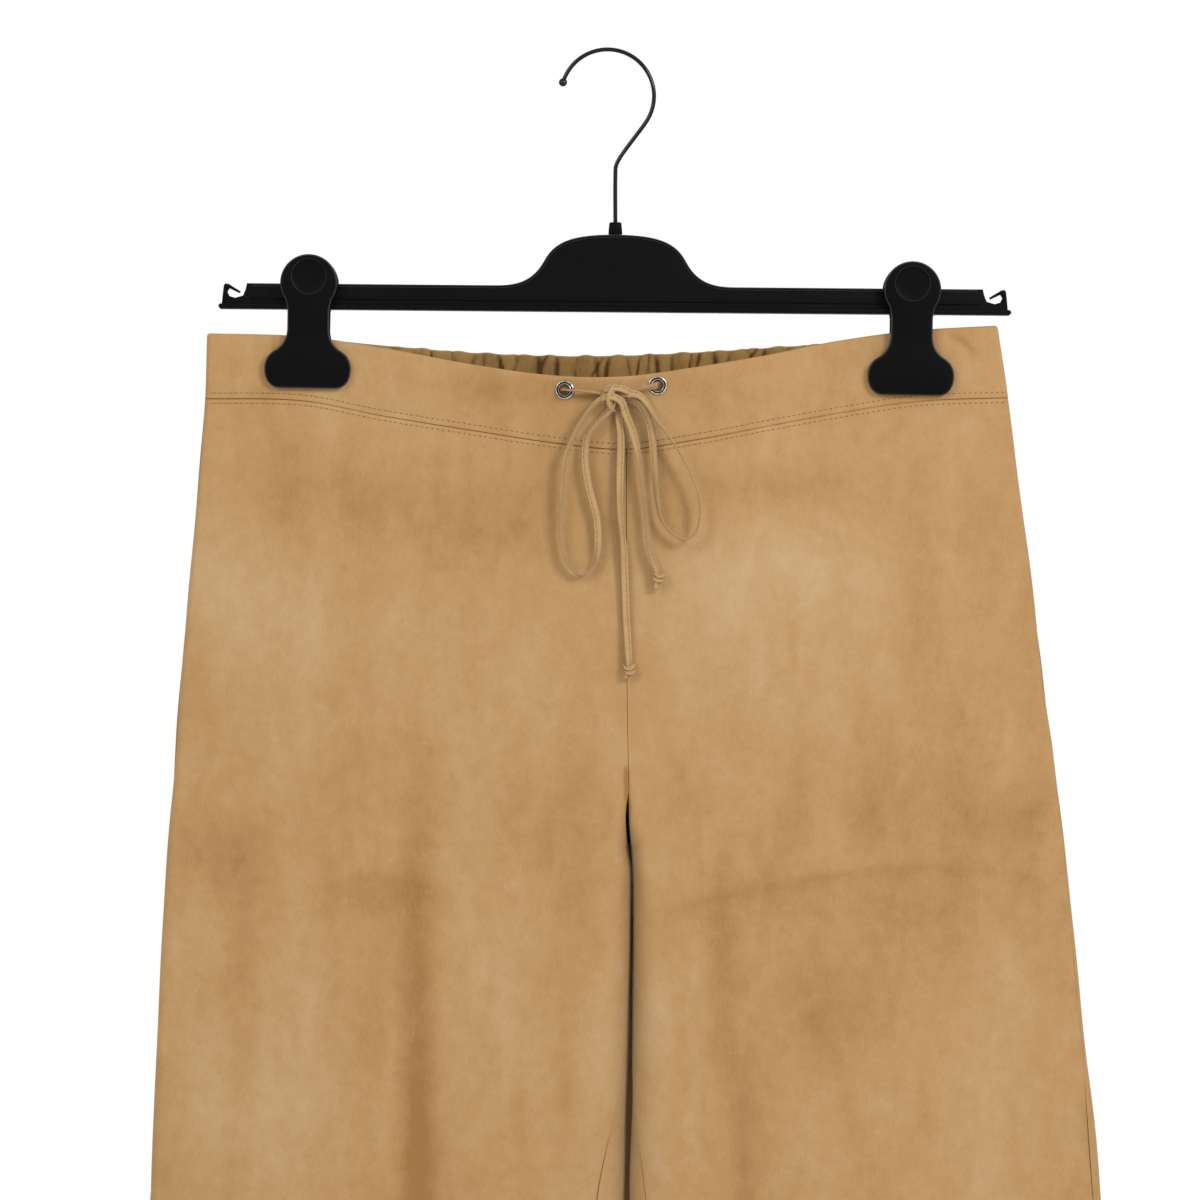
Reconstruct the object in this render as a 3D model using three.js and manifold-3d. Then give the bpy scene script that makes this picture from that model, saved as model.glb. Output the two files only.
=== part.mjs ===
// Suede drawstring trousers that hang from a clip hanger.
// Millimetres, +Z up. The origin is the inside top of the wire hook, where a rail carries it.
// X runs to the wearer's left, which is the right-hand side seen from the front, and the front faces -Y.
import * as THREE from 'three';
import { mergeVertices } from 'three/addons/utils/BufferGeometryUtils.js';
import Module from 'manifold-3d';

const wasm = await Module();
wasm.setup();

// Cloth sizes
const SUEDE = 1.5;
const CASING = 2.4;
const SEAM_GAP = 0.3;
const BACK_BAND_HEIGHT = 35;
const RISE_TOP_FRONT = -372;
const RISE_TOP_BACK = -336;
const CROTCH = -412;
const CLIPPED_END = -178;
const HIP = -300;
const BOW_HALF_WIDTH = 136;
const GATHER_HEIGHT = 1.3;
const GATHER_FADE_END = -266;
const FRONT = -1;
const BACK = 1;
const LEFT = -1;
const RIGHT = 1;

// The hanging outline, one row for each height. gap parts the legs, front and back are how far
// the cloth stands out past its folded side edge, edge is the radius of that fold, inner is the
// width over which a leg rounds off at its inner edge, peak is where across the leg it is fullest,
// and the last three are how far round onto the front the seams lie.
const OUTLINE = [
  { z: -142, left: -209.3, right: 201.5, centre: 8.5, gap: 0.3, front: 13, back: 10, edge: 2.7, inner: 6,
    peak: 1, inseamLeft: 0, inseamRight: 0, outseamRight: 0 },
  { z: -180, left: -210.6, right: 207, centre: 8.5, gap: 0.3, front: 13, back: 11, edge: 2.7, inner: 6,
    peak: 1, inseamLeft: 0, inseamRight: 0, outseamRight: 0 },
  { z: -243, left: -215.8, right: 214.8, centre: 8.5, gap: 0.3, front: 14, back: 15, edge: 3.2, inner: 6,
    peak: 1, inseamLeft: 0, inseamRight: 0, outseamRight: 0 },
  { z: -306, left: -221.5, right: 222.6, centre: 8.5, gap: 0.3, front: 16, back: 19, edge: 3.6, inner: 6,
    peak: 1, inseamLeft: 0, inseamRight: 0, outseamRight: 0 },
  { z: -388, left: -227.8, right: 233.4, centre: 9.8, gap: 0.3, front: 18, back: 21, edge: 4, inner: 7,
    peak: 1, inseamLeft: 0, inseamRight: 0, outseamRight: 0.5 },
  { z: -430, left: -231, right: 238.4, centre: 11.5, gap: 1, front: 19, back: 21, edge: 4, inner: 10,
    peak: 0.94, inseamLeft: 0, inseamRight: 0, outseamRight: 1.5 },
  { z: -525, left: -235.8, right: 248.3, centre: 10.6, gap: 1.6, front: 20, back: 21, edge: 4, inner: 22,
    peak: 0.8, inseamLeft: 1, inseamRight: 0, outseamRight: 3 },
  { z: -597, left: -238.7, right: 255.3, centre: 8.8, gap: 3.6, front: 21, back: 22, edge: 4, inner: 34,
    peak: 0.7, inseamLeft: 14, inseamRight: 8, outseamRight: 4.5 },
  { z: -800, left: -249, right: 273, centre: 8.5, gap: 6, front: 23, back: 24, edge: 4, inner: 80,
    peak: 0.6, inseamLeft: 28, inseamRight: 25, outseamRight: 7 },
  { z: -1000, left: -262, right: 286, centre: 8.5, gap: 9, front: 25, back: 26, edge: 4, inner: 120,
    peak: 0.56, inseamLeft: 32, inseamRight: 31, outseamRight: 8 },
  { z: -1180, left: -274, right: 297, centre: 8.5, gap: 12, front: 27, back: 28, edge: 4, inner: 135,
    peak: 0.55, inseamLeft: 34, inseamRight: 34, outseamRight: 8 },
];
const HEM = OUTLINE[OUTLINE.length - 1].z;

// The waist's edges across the front, which sags between the clips.
const WAIST = [
  { x: -212, frontTop: -146.3, frontSeam: -180.4, backTop: -146.8 },
  { x: -160, frontTop: -148, frontSeam: -181.5, backTop: -148.6 },
  { x: -118, frontTop: -154, frontSeam: -189.4, backTop: -152.6 },
  { x: -72, frontTop: -162.8, frontSeam: -197, backTop: -156.2 },
  { x: -28, frontTop: -168.9, frontSeam: -203.9, backTop: -157.7 },
  { x: 8, frontTop: -169.3, frontSeam: -207.1, backTop: -157.4 },
  { x: 45, frontTop: -164.3, frontSeam: -202, backTop: -155.9 },
  { x: 82, frontTop: -157.9, frontSeam: -194.8, backTop: -153.8 },
  { x: 118, frontTop: -150.6, frontSeam: -188.1, backTop: -151.2 },
  { x: 160, frontTop: -145, frontSeam: -181.8, backTop: -145.6 },
  { x: 208, frontTop: -142.2, frontSeam: -179.9, backTop: -142.6 },
];

// The creases between the gathers of the elastic back, with the fullness of the gather that follows.
const CREASES = [
  { x: -113, full: 0.6 },
  { x: -102, full: 0.8 },
  { x: -92.6, full: 0.9 },
  { x: -82.2, full: 1 },
  { x: -70, full: 0.8 },
  { x: -58.2, full: 1 },
  { x: -48, full: 0.9 },
  { x: -37.4, full: 1 },
  { x: -27.6, full: 0.8 },
  { x: -17, full: 1 },
  { x: -7.8, full: 0.8 },
  { x: 0, full: 0.9 },
  { x: 8.5, full: 0.8 },
  { x: 16, full: 0.9 },
  { x: 24, full: 1 },
  { x: 32.5, full: 0.9 },
  { x: 42.5, full: 1 },
  { x: 54, full: 0.8 },
  { x: 63, full: 0.9 },
  { x: 72, full: 1 },
  { x: 81, full: 0.9 },
  { x: 93, full: 0.8 },
  { x: 104, full: 0.6 },
  { x: 113, full: 0 },
];

// The largest soft troughs of the hanging cloth, each as a leg, a face, a middle and its size.
const FOLDS = [
  { side: LEFT, face: FRONT, x: -179, top: -192, bottom: -320, wide: 13, deep: 1.6 },
  { side: LEFT, face: FRONT, x: -97, top: -360, bottom: -1290, wide: 27, deep: 5 },
  { side: LEFT, face: FRONT, x: -24, top: -520, bottom: -900, wide: 15, deep: 2.5 },
  { side: RIGHT, face: FRONT, x: 61, top: -390, bottom: -1290, wide: 25, deep: 5 },
  { side: RIGHT, face: FRONT, x: 190, top: -560, bottom: -1290, wide: 24, deep: 3 },
  { side: LEFT, face: BACK, x: -128, top: -340, bottom: -1290, wide: 30, deep: 5 },
  { side: LEFT, face: BACK, x: -60, top: -540, bottom: -1290, wide: 22, deep: 3 },
  { side: RIGHT, face: BACK, x: 128, top: -330, bottom: -1290, wide: 30, deep: 5 },
  { side: RIGHT, face: BACK, x: 70, top: -560, bottom: -1290, wide: 22, deep: 3 },
];
const BREAK = { z: -428, high: 34, deep: 1.6 };

// How a leg's points spread across it: most at the folded edge and at the inner edge.
const EDGE_SHARE = 0.12;
const INNER_START = 0.8;
const PANEL_COLUMNS = [0, 0.05, 0.12, 0.2, 0.28, 0.36, 0.44, 0.52, 0.6, 0.7, 0.8, 0.87, 0.94, 1];
const FRONT_LEVELS = [-226, -258, -300, -340, -372, -388, -399, -406, -410, -412, -424, -450, -490, -545,
  -610, -690, -780, -880, -980, -1080, HEM];
const GATHER_LEVELS = [-203, -222, -246, GATHER_FADE_END];
const BACK_LEVELS = [-300, -336, -362, -384, -399, -408, -412, -424, -450, -490, -545, -610, -690, -780,
  -880, -980, -1080, HEM];
const BAND_COLUMNS = [0, 0.05, 0.12, 0.18, 0.24, 0.28, 0.36, 0.44, 0.5, 0.56, 0.62, 0.68, 0.74, 0.8, 0.87,
  0.94, 1];
const GATHER_POINTS = [0, 0.2, 0.5, 0.8];
const LEAST_STEP = 0.004;

// A leg panel is laid out as narrow solids a hair apart, each of them nearly flat: strips down the leg,
// each cut once across. A strip has a word, the column where it ends and the level of its cut. The last
// strip of a panel holds the rise and the inseam.
const HAIR = 0.02;
const STRIPS = {
  [FRONT]: [['side', 0.28, HIP], ['middle', 0.87, HIP], ['inner', 1, CROTCH]],
  [BACK]: [['side', 0.28, HIP], ['middle', 0.6, HIP], ['near', 0.87, HIP], ['inner', 1, CROTCH]],
};

// Lace and metal sizes
const LACE_RADIUS = 1.5;
const LACE_STEP = 8;
const EYELET = { hole: 2.7, rim: 5, height: 1.3, xLeft: -23.5, zLeft: -176.4, xRight: 24.6, zRight: -174.1 };
const KNOT = { x: 4, y: -20.2, z: -180.2, wide: 11, deep: 7.6, high: 9.6, chamfer: 2 };
const END_KNOT_RADIUS = 2.6;

// Hanger sizes
const WIRE_RADIUS = 1.1;
const HOOK = { x: -1.3, z: -22.9, radius: 24.2, tip: 163, end: -35, ball: 2.2, stem: 2.8 };
const FERRULE = { top: -88.7, bottom: -94.9, topRadius: 3.1, bottomRadius: 3.7 };
const BAR = { x: 2.8, z: -95.2, tilt: 0.49, half: 205.8, top: -26.8, bottom: -40.1, deep: 6, lipHigh: 2.6,
  lipDeep: 10 };
const CLIP = { head: 14.8, neck: 10.8, foot: 22.4, bottom: -54.7, thick: 3, lean: 3.3, springWide: 18,
  springDeep: 9.2, springHigh: 6.4 };
const CLIPS = [
  { name: 'clip_left', x: -156.2, z: -120.3, tilt: 1, springZ: -141 },
  { name: 'clip_right', x: 156.9, z: -124.0, tilt: 1, springZ: -141 },
];

const suede = new THREE.MeshStandardMaterial({ color: 0xc4a06c, roughness: 0.95, metalness: 0 });
const lace = new THREE.MeshStandardMaterial({ color: 0xcdae7e, roughness: 0.9, metalness: 0 });
const plastic = new THREE.MeshStandardMaterial({ color: 0x18181a, roughness: 0.6, metalness: 0 });
const wire = new THREE.MeshStandardMaterial({ color: 0x2c2c30, roughness: 0.35, metalness: 0.8 });
const nickel = new THREE.MeshStandardMaterial({ color: 0xa8a8ac, roughness: 0.25, metalness: 1 });

const clamp = THREE.MathUtils.clamp;
const lerp = THREE.MathUtils.lerp;
const rad = THREE.MathUtils.degToRad;

function ease(from, to, at) {
  const t = clamp((at - from) / (to - from), 0, 1);
  return t * t * (3 - 2 * t);
}

// The value of a table's column at a place along its key, on a smooth curve through its rows.
function read(table, key, column, at) {
  const last = table.length - 1;
  const rising = table[last][key] > table[0][key];
  let i = 0;
  while (i < last - 1 && (rising ? at > table[i + 1][key] : at < table[i + 1][key])) {
    i += 1;
  }
  const slope = (k) => {
    const a = table[Math.max(k - 1, 0)];
    const b = table[Math.min(k + 1, last)];
    return (b[column] - a[column]) / (b[key] - a[key]);
  };
  const span = table[i + 1][key] - table[i][key];
  const t = clamp((at - table[i][key]) / span, 0, 1);
  const square = t * t;
  const cube = square * t;
  return (2 * cube - 3 * square + 1) * table[i][column] + (cube - 2 * square + t) * span * slope(i)
    + (3 * square - 2 * cube) * table[i + 1][column] + (cube - square) * span * slope(i + 1);
}

const outline = (column, z) => read(OUTLINE, 'z', column, z);
const waist = (column, x) => read(WAIST, 'x', column, x);
const backSeam = (x) => waist('backTop', x) - BACK_BAND_HEIGHT;

// A leg's outer and inner edge at a height.
function edges(side, z) {
  const outer = outline(side === LEFT ? 'left' : 'right', z);
  const inner = outline('centre', z) + side * outline('gap', z) / 2;
  return { outer, inner, width: Math.abs(inner - outer) };
}

// How far across the leg a point lies, from 0 at the folded edge to 1 at the inner edge.
function spread(u, z, width) {
  const edge = outline('edge', z) / width;
  const inner = outline('inner', z) / width;
  if (u < EDGE_SHARE) {
    return edge * (1 - Math.cos(Math.PI / 2 * u / EDGE_SHARE));
  }
  if (u < INNER_START) {
    return edge + (1 - edge - inner) * (u - EDGE_SHARE) / (INNER_START - EDGE_SHARE);
  }
  return 1 - inner * (1 - Math.cos(Math.PI / 2 * (1 - u) / (1 - INNER_START)));
}

// The step of u that lies a distance in from the inner or the outer edge.
function stepIn(distance, z) {
  const inner = outline('inner', z);
  return (1 - INNER_START) * Math.acos(clamp(1 - distance / inner, 0, 1)) * 2 / Math.PI;
}

function stepOut(distance, z, width) {
  const edge = outline('edge', z);
  if (distance <= edge) {
    return EDGE_SHARE * Math.acos(1 - Math.max(distance, 0) / edge) * 2 / Math.PI;
  }
  const flat = width - edge - outline('inner', z);
  return EDGE_SHARE + (INNER_START - EDGE_SHARE) * (distance - edge) / flat;
}

// A gather's height between its two creases, 0 at a crease and up to 1 between.
function gather(x, power) {
  for (let i = 0; i < CREASES.length - 1; i += 1) {
    const from = CREASES[i].x;
    const to = CREASES[i + 1].x;
    if (x >= from && x < to) {
      return CREASES[i].full * Math.sin(Math.PI * (x - from) / (to - from)) ** power;
    }
  }
  return 0;
}

function folds(side, face, x, z) {
  let deep = BREAK.deep * Math.exp(-(((z - BREAK.z) / BREAK.high) ** 2));
  for (const fold of FOLDS) {
    if (fold.side === side && fold.face === face) {
      const length = fold.top - fold.bottom;
      const along = ease(fold.top, fold.top - length * 0.3, z) * ease(fold.bottom, fold.bottom + length * 0.3, z);
      deep += fold.deep * along * Math.exp(-(((x - fold.x) / fold.wide) ** 2));
    }
  }
  return deep;
}

// A point of the cloth's outer face. u runs from the folded side edge to the inner edge, and
// below 0 or past 1 it goes on round onto the other face.
function skin(side, face, u, z) {
  if (u < 0) {
    return skin(side, -face, -u, z);
  }
  if (u > 1) {
    return skin(side, -face, 2 - u, z);
  }
  const { outer, inner, width } = edges(side, z);
  const across = spread(u, z, width);
  const x = lerp(outer, inner, across);
  const edge = outline('edge', z);
  const fold = edge * Math.sqrt(1 - (1 - Math.min(across * width / edge, 1)) ** 2);
  const bow = Math.cos(Math.PI / 2 * clamp(x / BOW_HALF_WIDTH, -1, 1)) ** 2;
  const lens = Math.sin(Math.PI / 2 * Math.min(across / outline('peak', z), 1));
  const shape = lerp(bow, lens, ease(CLIPPED_END, HIP, z));
  let deep = fold + outline(face === FRONT ? 'front' : 'back', z) * shape;
  deep -= folds(side, face, x, z) * shape * ease(0, 0.1, across);
  if (face === BACK && z > GATHER_FADE_END) {
    const fade = ease(GATHER_FADE_END, backSeam(x), z);
    const seamEdges = edges(side, -190);
    deep += GATHER_HEIGHT * fade * gather(lerp(seamEdges.outer, seamEdges.inner, across), 2);
  }
  const top = face === FRONT ? RISE_TOP_FRONT : RISE_TOP_BACK;
  const sunk = 1 - Math.sqrt(1 - clamp((top - z) / (top - CROTCH), 0, 1) ** 2);
  const power = 1 - 0.5 * ease(0, 0.25, sunk);
  const inward = Math.min((1 - across) * width / outline('inner', z), 1);
  deep *= 1 - sunk * (1 - (inward * (2 - inward)) ** power);
  return new THREE.Vector3(x, face * deep, z);
}

// The way along the cloth at one height, and the way out of it.
function tangent(side, face, u, z) {
  const ahead = z > CROTCH ? Math.min(u + 0.004, 1) : u + 0.004;
  return skin(side, face, ahead, z).sub(skin(side, face, u - 0.004, z)).normalize();
}

function outward(side, face, u, z) {
  const t = tangent(side, face, u, z);
  return new THREE.Vector3(t.y, -t.x, 0).multiplyScalar(side * face);
}

// Joins two rows of points, which may differ in number, into a strip of triangles.
function bridge(index, a, placesA, b, placesB, flip) {
  let i = 0;
  let j = 0;
  while (i < a.length - 1 || j < b.length - 1) {
    const stepA = j === b.length - 1 || (i < a.length - 1 && placesA[i + 1] <= placesB[j + 1]);
    const third = stepA ? a[i + 1] : b[j + 1];
    index.push(...(flip ? [a[i], third, b[j]] : [a[i], b[j], third]));
    if (stepA) {
      i += 1;
    } else {
      j += 1;
    }
  }
}

function volume(positions, index) {
  const points = [0, 1, 2].map(() => new THREE.Vector3());
  let sum = 0;
  for (let i = 0; i < index.length; i += 3) {
    points.forEach((p, k) => p.fromArray(positions, index[i + k] * 3));
    sum += points[0].dot(points[1].cross(points[2])) / 6;
  }
  return sum;
}

// A closed wall from rows of matching outer and inner points.
function wall(rows) {
  const positions = [];
  const index = [];
  const place = (points) => points.map((p) => positions.push(p.x, p.y, p.z) / 3 - 1);
  const outer = rows.map((row) => place(row.outer));
  const inner = rows.map((row) => place(row.inner));
  const pair = [0, 1];
  for (let i = 0; i < rows.length - 1; i += 1) {
    bridge(index, outer[i], rows[i].places, outer[i + 1], rows[i + 1].places, false);
    bridge(index, inner[i], rows[i].places, inner[i + 1], rows[i + 1].places, true);
    const ends = [[0, true], [-1, false]];
    for (const [end, flip] of ends) {
      const above = [outer[i].at(end), inner[i].at(end)];
      const below = [outer[i + 1].at(end), inner[i + 1].at(end)];
      bridge(index, above, pair, below, pair, flip);
    }
  }
  for (const [row, flip] of [[0, true], [rows.length - 1, false]]) {
    bridge(index, outer[row], rows[row].places, inner[row], rows[row].places, flip);
  }
  if (volume(positions, index) < 0) {
    index.reverse();
  }
  const geometry = new THREE.BufferGeometry();
  geometry.setAttribute('position', new THREE.Float32BufferAttribute(positions, 3));
  geometry.setIndex(index);
  geometry.computeVertexNormals();
  return geometry;
}

// One row of a strip of a leg panel. level gives a height, or null for the waist seam, and shift
// moves the finished row up or down.
function panelRow(side, face, from, to, columns, level, shift) {
  const outer = [];
  const inner = [];
  const wrap = face === FRONT ? -1 : 1;
  const places = columns.filter((v) => v >= from && v <= to);
  for (const v of places) {
    let z = level;
    if (level === null) {
      z = seamHeight(side, face, v);
    }
    const { width } = edges(side, z);
    const inseam = z > CROTCH ? 0 : stepIn(outline(side === LEFT ? 'inseamLeft' : 'inseamRight', z), z);
    const outseam = side === LEFT ? 0 : stepOut(outline('outseamRight', z), z, width);
    const u = lerp(-wrap * outseam, 1 + wrap * inseam, v);
    const point = skin(side, face, u, z);
    if (v === 0) {
      point.addScaledVector(tangent(side, face, u, z), SEAM_GAP / 2);
    }
    if (v === 1 && z <= CROTCH) {
      point.addScaledVector(tangent(side, face, u, z), -SEAM_GAP / 2);
    }
    if (v === from && v > 0) {
      point.addScaledVector(tangent(side, face, u, z), HAIR);
    }
    if (v === to && v < 1) {
      point.addScaledVector(tangent(side, face, u, z), -HAIR);
    }
    point.z += shift;
    outer.push(point);
    inner.push(point.clone().addScaledVector(outward(side, face, u, z), -SUEDE));
  }
  return { places, outer, inner };
}

// Where the waist seam runs at a panel's column.
function seamHeight(side, face, v) {
  let z = -190;
  for (let i = 0; i < 3; i += 1) {
    const { x } = skin(side, face, v, z);
    z = (face === FRONT ? waist('frontSeam', x) : backSeam(x)) - SEAM_GAP / 2;
  }
  return z;
}

// The columns of a back panel's top, which add points for each gather.
function gatherColumns(side) {
  const { outer, inner, width } = edges(side, -190);
  const flat = width - outline('edge', -190) - outline('inner', -190);
  const columns = PANEL_COLUMNS.filter((v) => v <= EDGE_SHARE);
  const found = [];
  for (let i = 0; i < CREASES.length - 1; i += 1) {
    for (const t of GATHER_POINTS) {
      found.push(lerp(CREASES[i].x, CREASES[i + 1].x, t));
    }
  }
  for (const x of found) {
    const distance = Math.abs(x - outer) - outline('edge', -190);
    const v = EDGE_SHARE + (INNER_START - EDGE_SHARE) * distance / flat;
    if ((x - inner) * side > 0 && v < INNER_START) {
      columns.push(v);
    }
  }
  columns.sort((a, b) => a - b);
  const first = columns.find((v) => v > EDGE_SHARE);
  columns.push(...PANEL_COLUMNS.filter((v) => v >= INNER_START || (v > EDGE_SHARE && v < first - 0.02)));
  const limits = STRIPS[BACK].map((strip) => strip[1]);
  const clear = columns.filter((v) => limits.every((limit) => Math.abs(v - limit) > LEAST_STEP));
  return [...clear, ...limits].sort((a, b) => a - b);
}

function panel(side, face) {
  const fine = face === FRONT ? BAND_COLUMNS : gatherColumns(side);
  const rows = [{ columns: fine, level: null }];
  if (face === BACK) {
    rows.push(...GATHER_LEVELS.map((level) => ({ columns: fine, level })));
  }
  const levels = face === FRONT ? FRONT_LEVELS : BACK_LEVELS;
  rows.push(...levels.map((level) => ({ columns: PANEL_COLUMNS, level })));
  const parts = {};
  let from = 0;
  for (const [word, to, cut] of STRIPS[face]) {
    const middle = rows.findIndex((row) => row.level === cut);
    const strip = (part, shift) => wall(part.map(({ columns, level }) => (
      panelRow(side, face, from, to, columns, level, level === cut ? shift : 0))));
    parts[`${word}_top`] = strip(rows.slice(0, middle + 1), HAIR);
    parts[`${word}_leg`] = strip(rows.slice(middle), -HAIR);
    from = to;
  }
  return parts;
}

// The waistband goes right across, so its columns run from one side fold to the other.
function waistband(face) {
  const half = (side) => {
    if (face === FRONT) {
      return BAND_COLUMNS;
    }
    return gatherColumns(side);
  };
  const columns = half(LEFT).map((u) => ({ side: LEFT, u }));
  columns.push(...half(RIGHT).slice(0, -1).reverse().map((u) => ({ side: RIGHT, u })));
  const places = columns.map((c, i) => i);
  const rows = [0, 0.5, 1].map((down) => {
    const outer = [];
    const inner = [];
    for (const { side, u } of columns) {
      const { x } = plainSkin(side, face, u, -165);
      const lobe = face === BACK ? gather(x, 0.7) : 0;
      const top = waist(face === FRONT ? 'frontTop' : 'backTop', x) + lobe;
      const seam = (face === FRONT ? waist('frontSeam', x) : backSeam(x)) + SEAM_GAP / 2;
      const z = lerp(top, seam, down);
      const point = plainSkin(side, face, u, z);
      const out = outward(side, face, u, CLIPPED_END);
      if (u === 0) {
        point.y += face * SEAM_GAP / 2;
      }
      if (face === BACK && u > EDGE_SHARE) {
        out.set(0, 1, 0);
      }
      outer.push(point.clone().addScaledVector(out, GATHER_HEIGHT * lobe));
      inner.push(point.clone().addScaledVector(out, -CASING - GATHER_HEIGHT * lobe));
    }
    return { places, outer, inner };
  });
  return wall(rows);
}

// The cloth's face without the gathers that the leg panels carry.
function plainSkin(side, face, u, z) {
  const point = skin(side, face, u, z);
  if (face === BACK && z > GATHER_FADE_END) {
    const { outer, inner, width } = edges(side, z);
    const across = spread(u, z, width);
    const seamEdges = edges(side, -190);
    const fade = ease(GATHER_FADE_END, backSeam(lerp(outer, inner, across)), z);
    point.y -= GATHER_HEIGHT * fade * gather(lerp(seamEdges.outer, seamEdges.inner, across), 2);
  }
  return point;
}

// The y of the front of the cloth at a place.
function frontFace(x, z) {
  const side = x < outline('centre', z) ? LEFT : RIGHT;
  let low = 0;
  let high = 1;
  for (let i = 0; i < 40; i += 1) {
    const u = (low + high) / 2;
    if ((skin(side, FRONT, u, z).x - x) * side > 0) {
      low = u;
    } else {
      high = u;
    }
  }
  return { point: skin(side, FRONT, low, z), out: outward(side, FRONT, low, z) };
}

function solid(geometry) {
  const bare = geometry.clone();
  bare.deleteAttribute('normal');
  bare.deleteAttribute('uv');
  const merged = mergeVertices(bare, 1e-3);
  return new wasm.Manifold(new wasm.Mesh({
    numProp: 3,
    vertProperties: new Float32Array(merged.attributes.position.array),
    triVerts: new Uint32Array(merged.index.array),
  }));
}

function union(...geometries) {
  const joined = geometries.map(solid).reduce((a, b) => a.add(b));
  const mesh = joined.getMesh();
  const geometry = new THREE.BufferGeometry();
  geometry.setAttribute('position', new THREE.Float32BufferAttribute(mesh.vertProperties, 3));
  geometry.setIndex([...mesh.triVerts]);
  geometry.computeVertexNormals();
  return geometry;
}

function disc(radius, sides) {
  const points = [];
  for (let i = 0; i < sides; i += 1) {
    const angle = 2 * Math.PI * (i + 0.5) / sides;
    points.push(new THREE.Vector2(radius * Math.cos(angle), radius * Math.sin(angle)));
  }
  return new THREE.Shape(points);
}

function tube(points, radius, sides, step) {
  const path = new THREE.CatmullRomCurve3(points, false, 'centripetal');
  const steps = Math.max(2, Math.round(path.getLength() / step));
  return new THREE.ExtrudeGeometry(disc(radius, sides), { steps, extrudePath: path });
}

const route = (points) => points.map(([x, y, z]) => new THREE.Vector3(x, y, z));

// An outline in the X-Z plane, thickened towards -Y from its back face at y = 0.
function plate(shape, deep, curveSegments = 6) {
  const geometry = new THREE.ExtrudeGeometry(shape, { depth: deep, bevelEnabled: false, curveSegments });
  return geometry.rotateX(Math.PI / 2);
}

// The lace, each stretch with its route
function laceRun(x, z, side) {
  const { point, out } = frontFace(x, z);
  const start = point.clone().addScaledVector(out, SEAM_GAP);
  const clear = point.clone().addScaledVector(out, 2.4);
  const turn = new THREE.Vector3(x - side * 3.2, point.y - 4.6, z - 0.4);
  const knotSide = KNOT.x + side * (KNOT.wide / 2 + SEAM_GAP);
  const end = new THREE.Vector3(knotSide, KNOT.y + 1.6, KNOT.z + 1.6);
  const before = new THREE.Vector3(knotSide + side * 3, KNOT.y + 1.6, KNOT.z + 1.6);
  return tube([start, clear, turn, before, end], LACE_RADIUS, 8, LACE_STEP / 2);
}

const KNOT_LEFT = KNOT.x - KNOT.wide / 2 - SEAM_GAP;
const KNOT_RIGHT = KNOT.x + KNOT.wide / 2 + SEAM_GAP;
const KNOT_UNDER = KNOT.z - KNOT.high / 2 - SEAM_GAP;
const LOOP_LEFT = [
  [KNOT_LEFT, -21.8, -181.6], [KNOT_LEFT - 2.6, -21.8, -181.8], [-8.6, -22, -185], [-13.6, -22.3, -191.6],
  [-18.7, -22.4, -200.7], [-23.4, -22.4, -212.7], [-25, -22.4, -231.9], [-25, -22.6, -255.3],
  [-21.3, -22.8, -267.3], [-15.1, -22.8, -272], [-8.3, -22.4, -267.3], [-6.3, -22, -256.9],
  [-6.8, -21.8, -243.9], [-11.2, -21.6, -225.7], [-13, -21.4, -211.1], [-11.6, -21.4, -200],
  [-6.6, -21.6, -193.4], [-1, -21.8, -190.8], [0.8, -21.8, KNOT_UNDER - 2.6], [0.8, -21.8, KNOT_UNDER],
];
const LOOP_RIGHT = [
  [KNOT_RIGHT, -22.4, -178.6], [KNOT_RIGHT + 2.6, -22.5, -178.7], [16.4, -23.2, -180.6], [25.6, -24.4, -194],
  [32.2, -24.6, -203.3], [41.1, -24.6, -218.7], [45.8, -24.4, -231.9], [46, -24.2, -243.4], [43.7, -24, -250.6],
  [38.2, -23.6, -253.8], [31.2, -23, -249.9], [26.2, -22.4, -243.4], [24.4, -22, -234.8],
  [23, -21.4, -220], [21.8, -20.6, -203], [19.6, -19.8, -192], [15.4, -19.2, -184.4],
  [KNOT_RIGHT + 2.4, -19, -182.4], [KNOT_RIGHT, -19, -182.3],
];
const TAIL_LONG = [
  [4.4, -18.4, KNOT_UNDER], [4.4, -18.5, KNOT_UNDER - 2.6], [5.6, -19.2, -201.8], [5.2, -19.8, -220],
  [5.2, -20.2, -237.6], [6.2, -20.8, -260], [7.5, -21.4, -273], [8.3, -22, -291.2], [9.3, -22.8, -308.9],
  [9.8, -23.3, -317.3],
];
const TAIL_SHORT = [
  [7.4, -22.2, KNOT_UNDER], [7.5, -22.2, KNOT_UNDER - 2.6], [11, -22.4, -196], [14, -22.2, -208],
  [15.8, -22, -220], [18.2, -22, -240], [19.4, -22.2, -256], [21.8, -22.4, -264.2], [24.3, -22.7, -269.8],
];
const END_LONG = [[10, -23.4, -320.2], [8.6, -23.4, -325.4]];
const END_SHORT = [[25.2, -22.8, -272.6], [24, -22.8, -279]];

function endKnot(ends) {
  const [centre, tip] = route(ends);
  const knot = new THREE.IcosahedronGeometry(END_KNOT_RADIUS, 1).translate(centre.x, centre.y, centre.z);
  return union(knot, tube([centre, tip], LACE_RADIUS * 0.8, 6, LACE_STEP));
}

function bowKnot() {
  const { wide, high, deep, chamfer } = KNOT;
  const points = [];
  const corners = [[1, 1], [-1, 1], [-1, -1], [1, -1]];
  for (const [a, b] of corners) {
    const side = new THREE.Vector2(a * wide / 2, b * (high / 2 - chamfer));
    const end = new THREE.Vector2(a * (wide / 2 - chamfer), b * high / 2);
    points.push(...(a * b > 0 ? [side, end] : [end, side]));
  }
  return plate(new THREE.Shape(points), deep).translate(KNOT.x, KNOT.y + deep / 2, KNOT.z);
}

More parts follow.
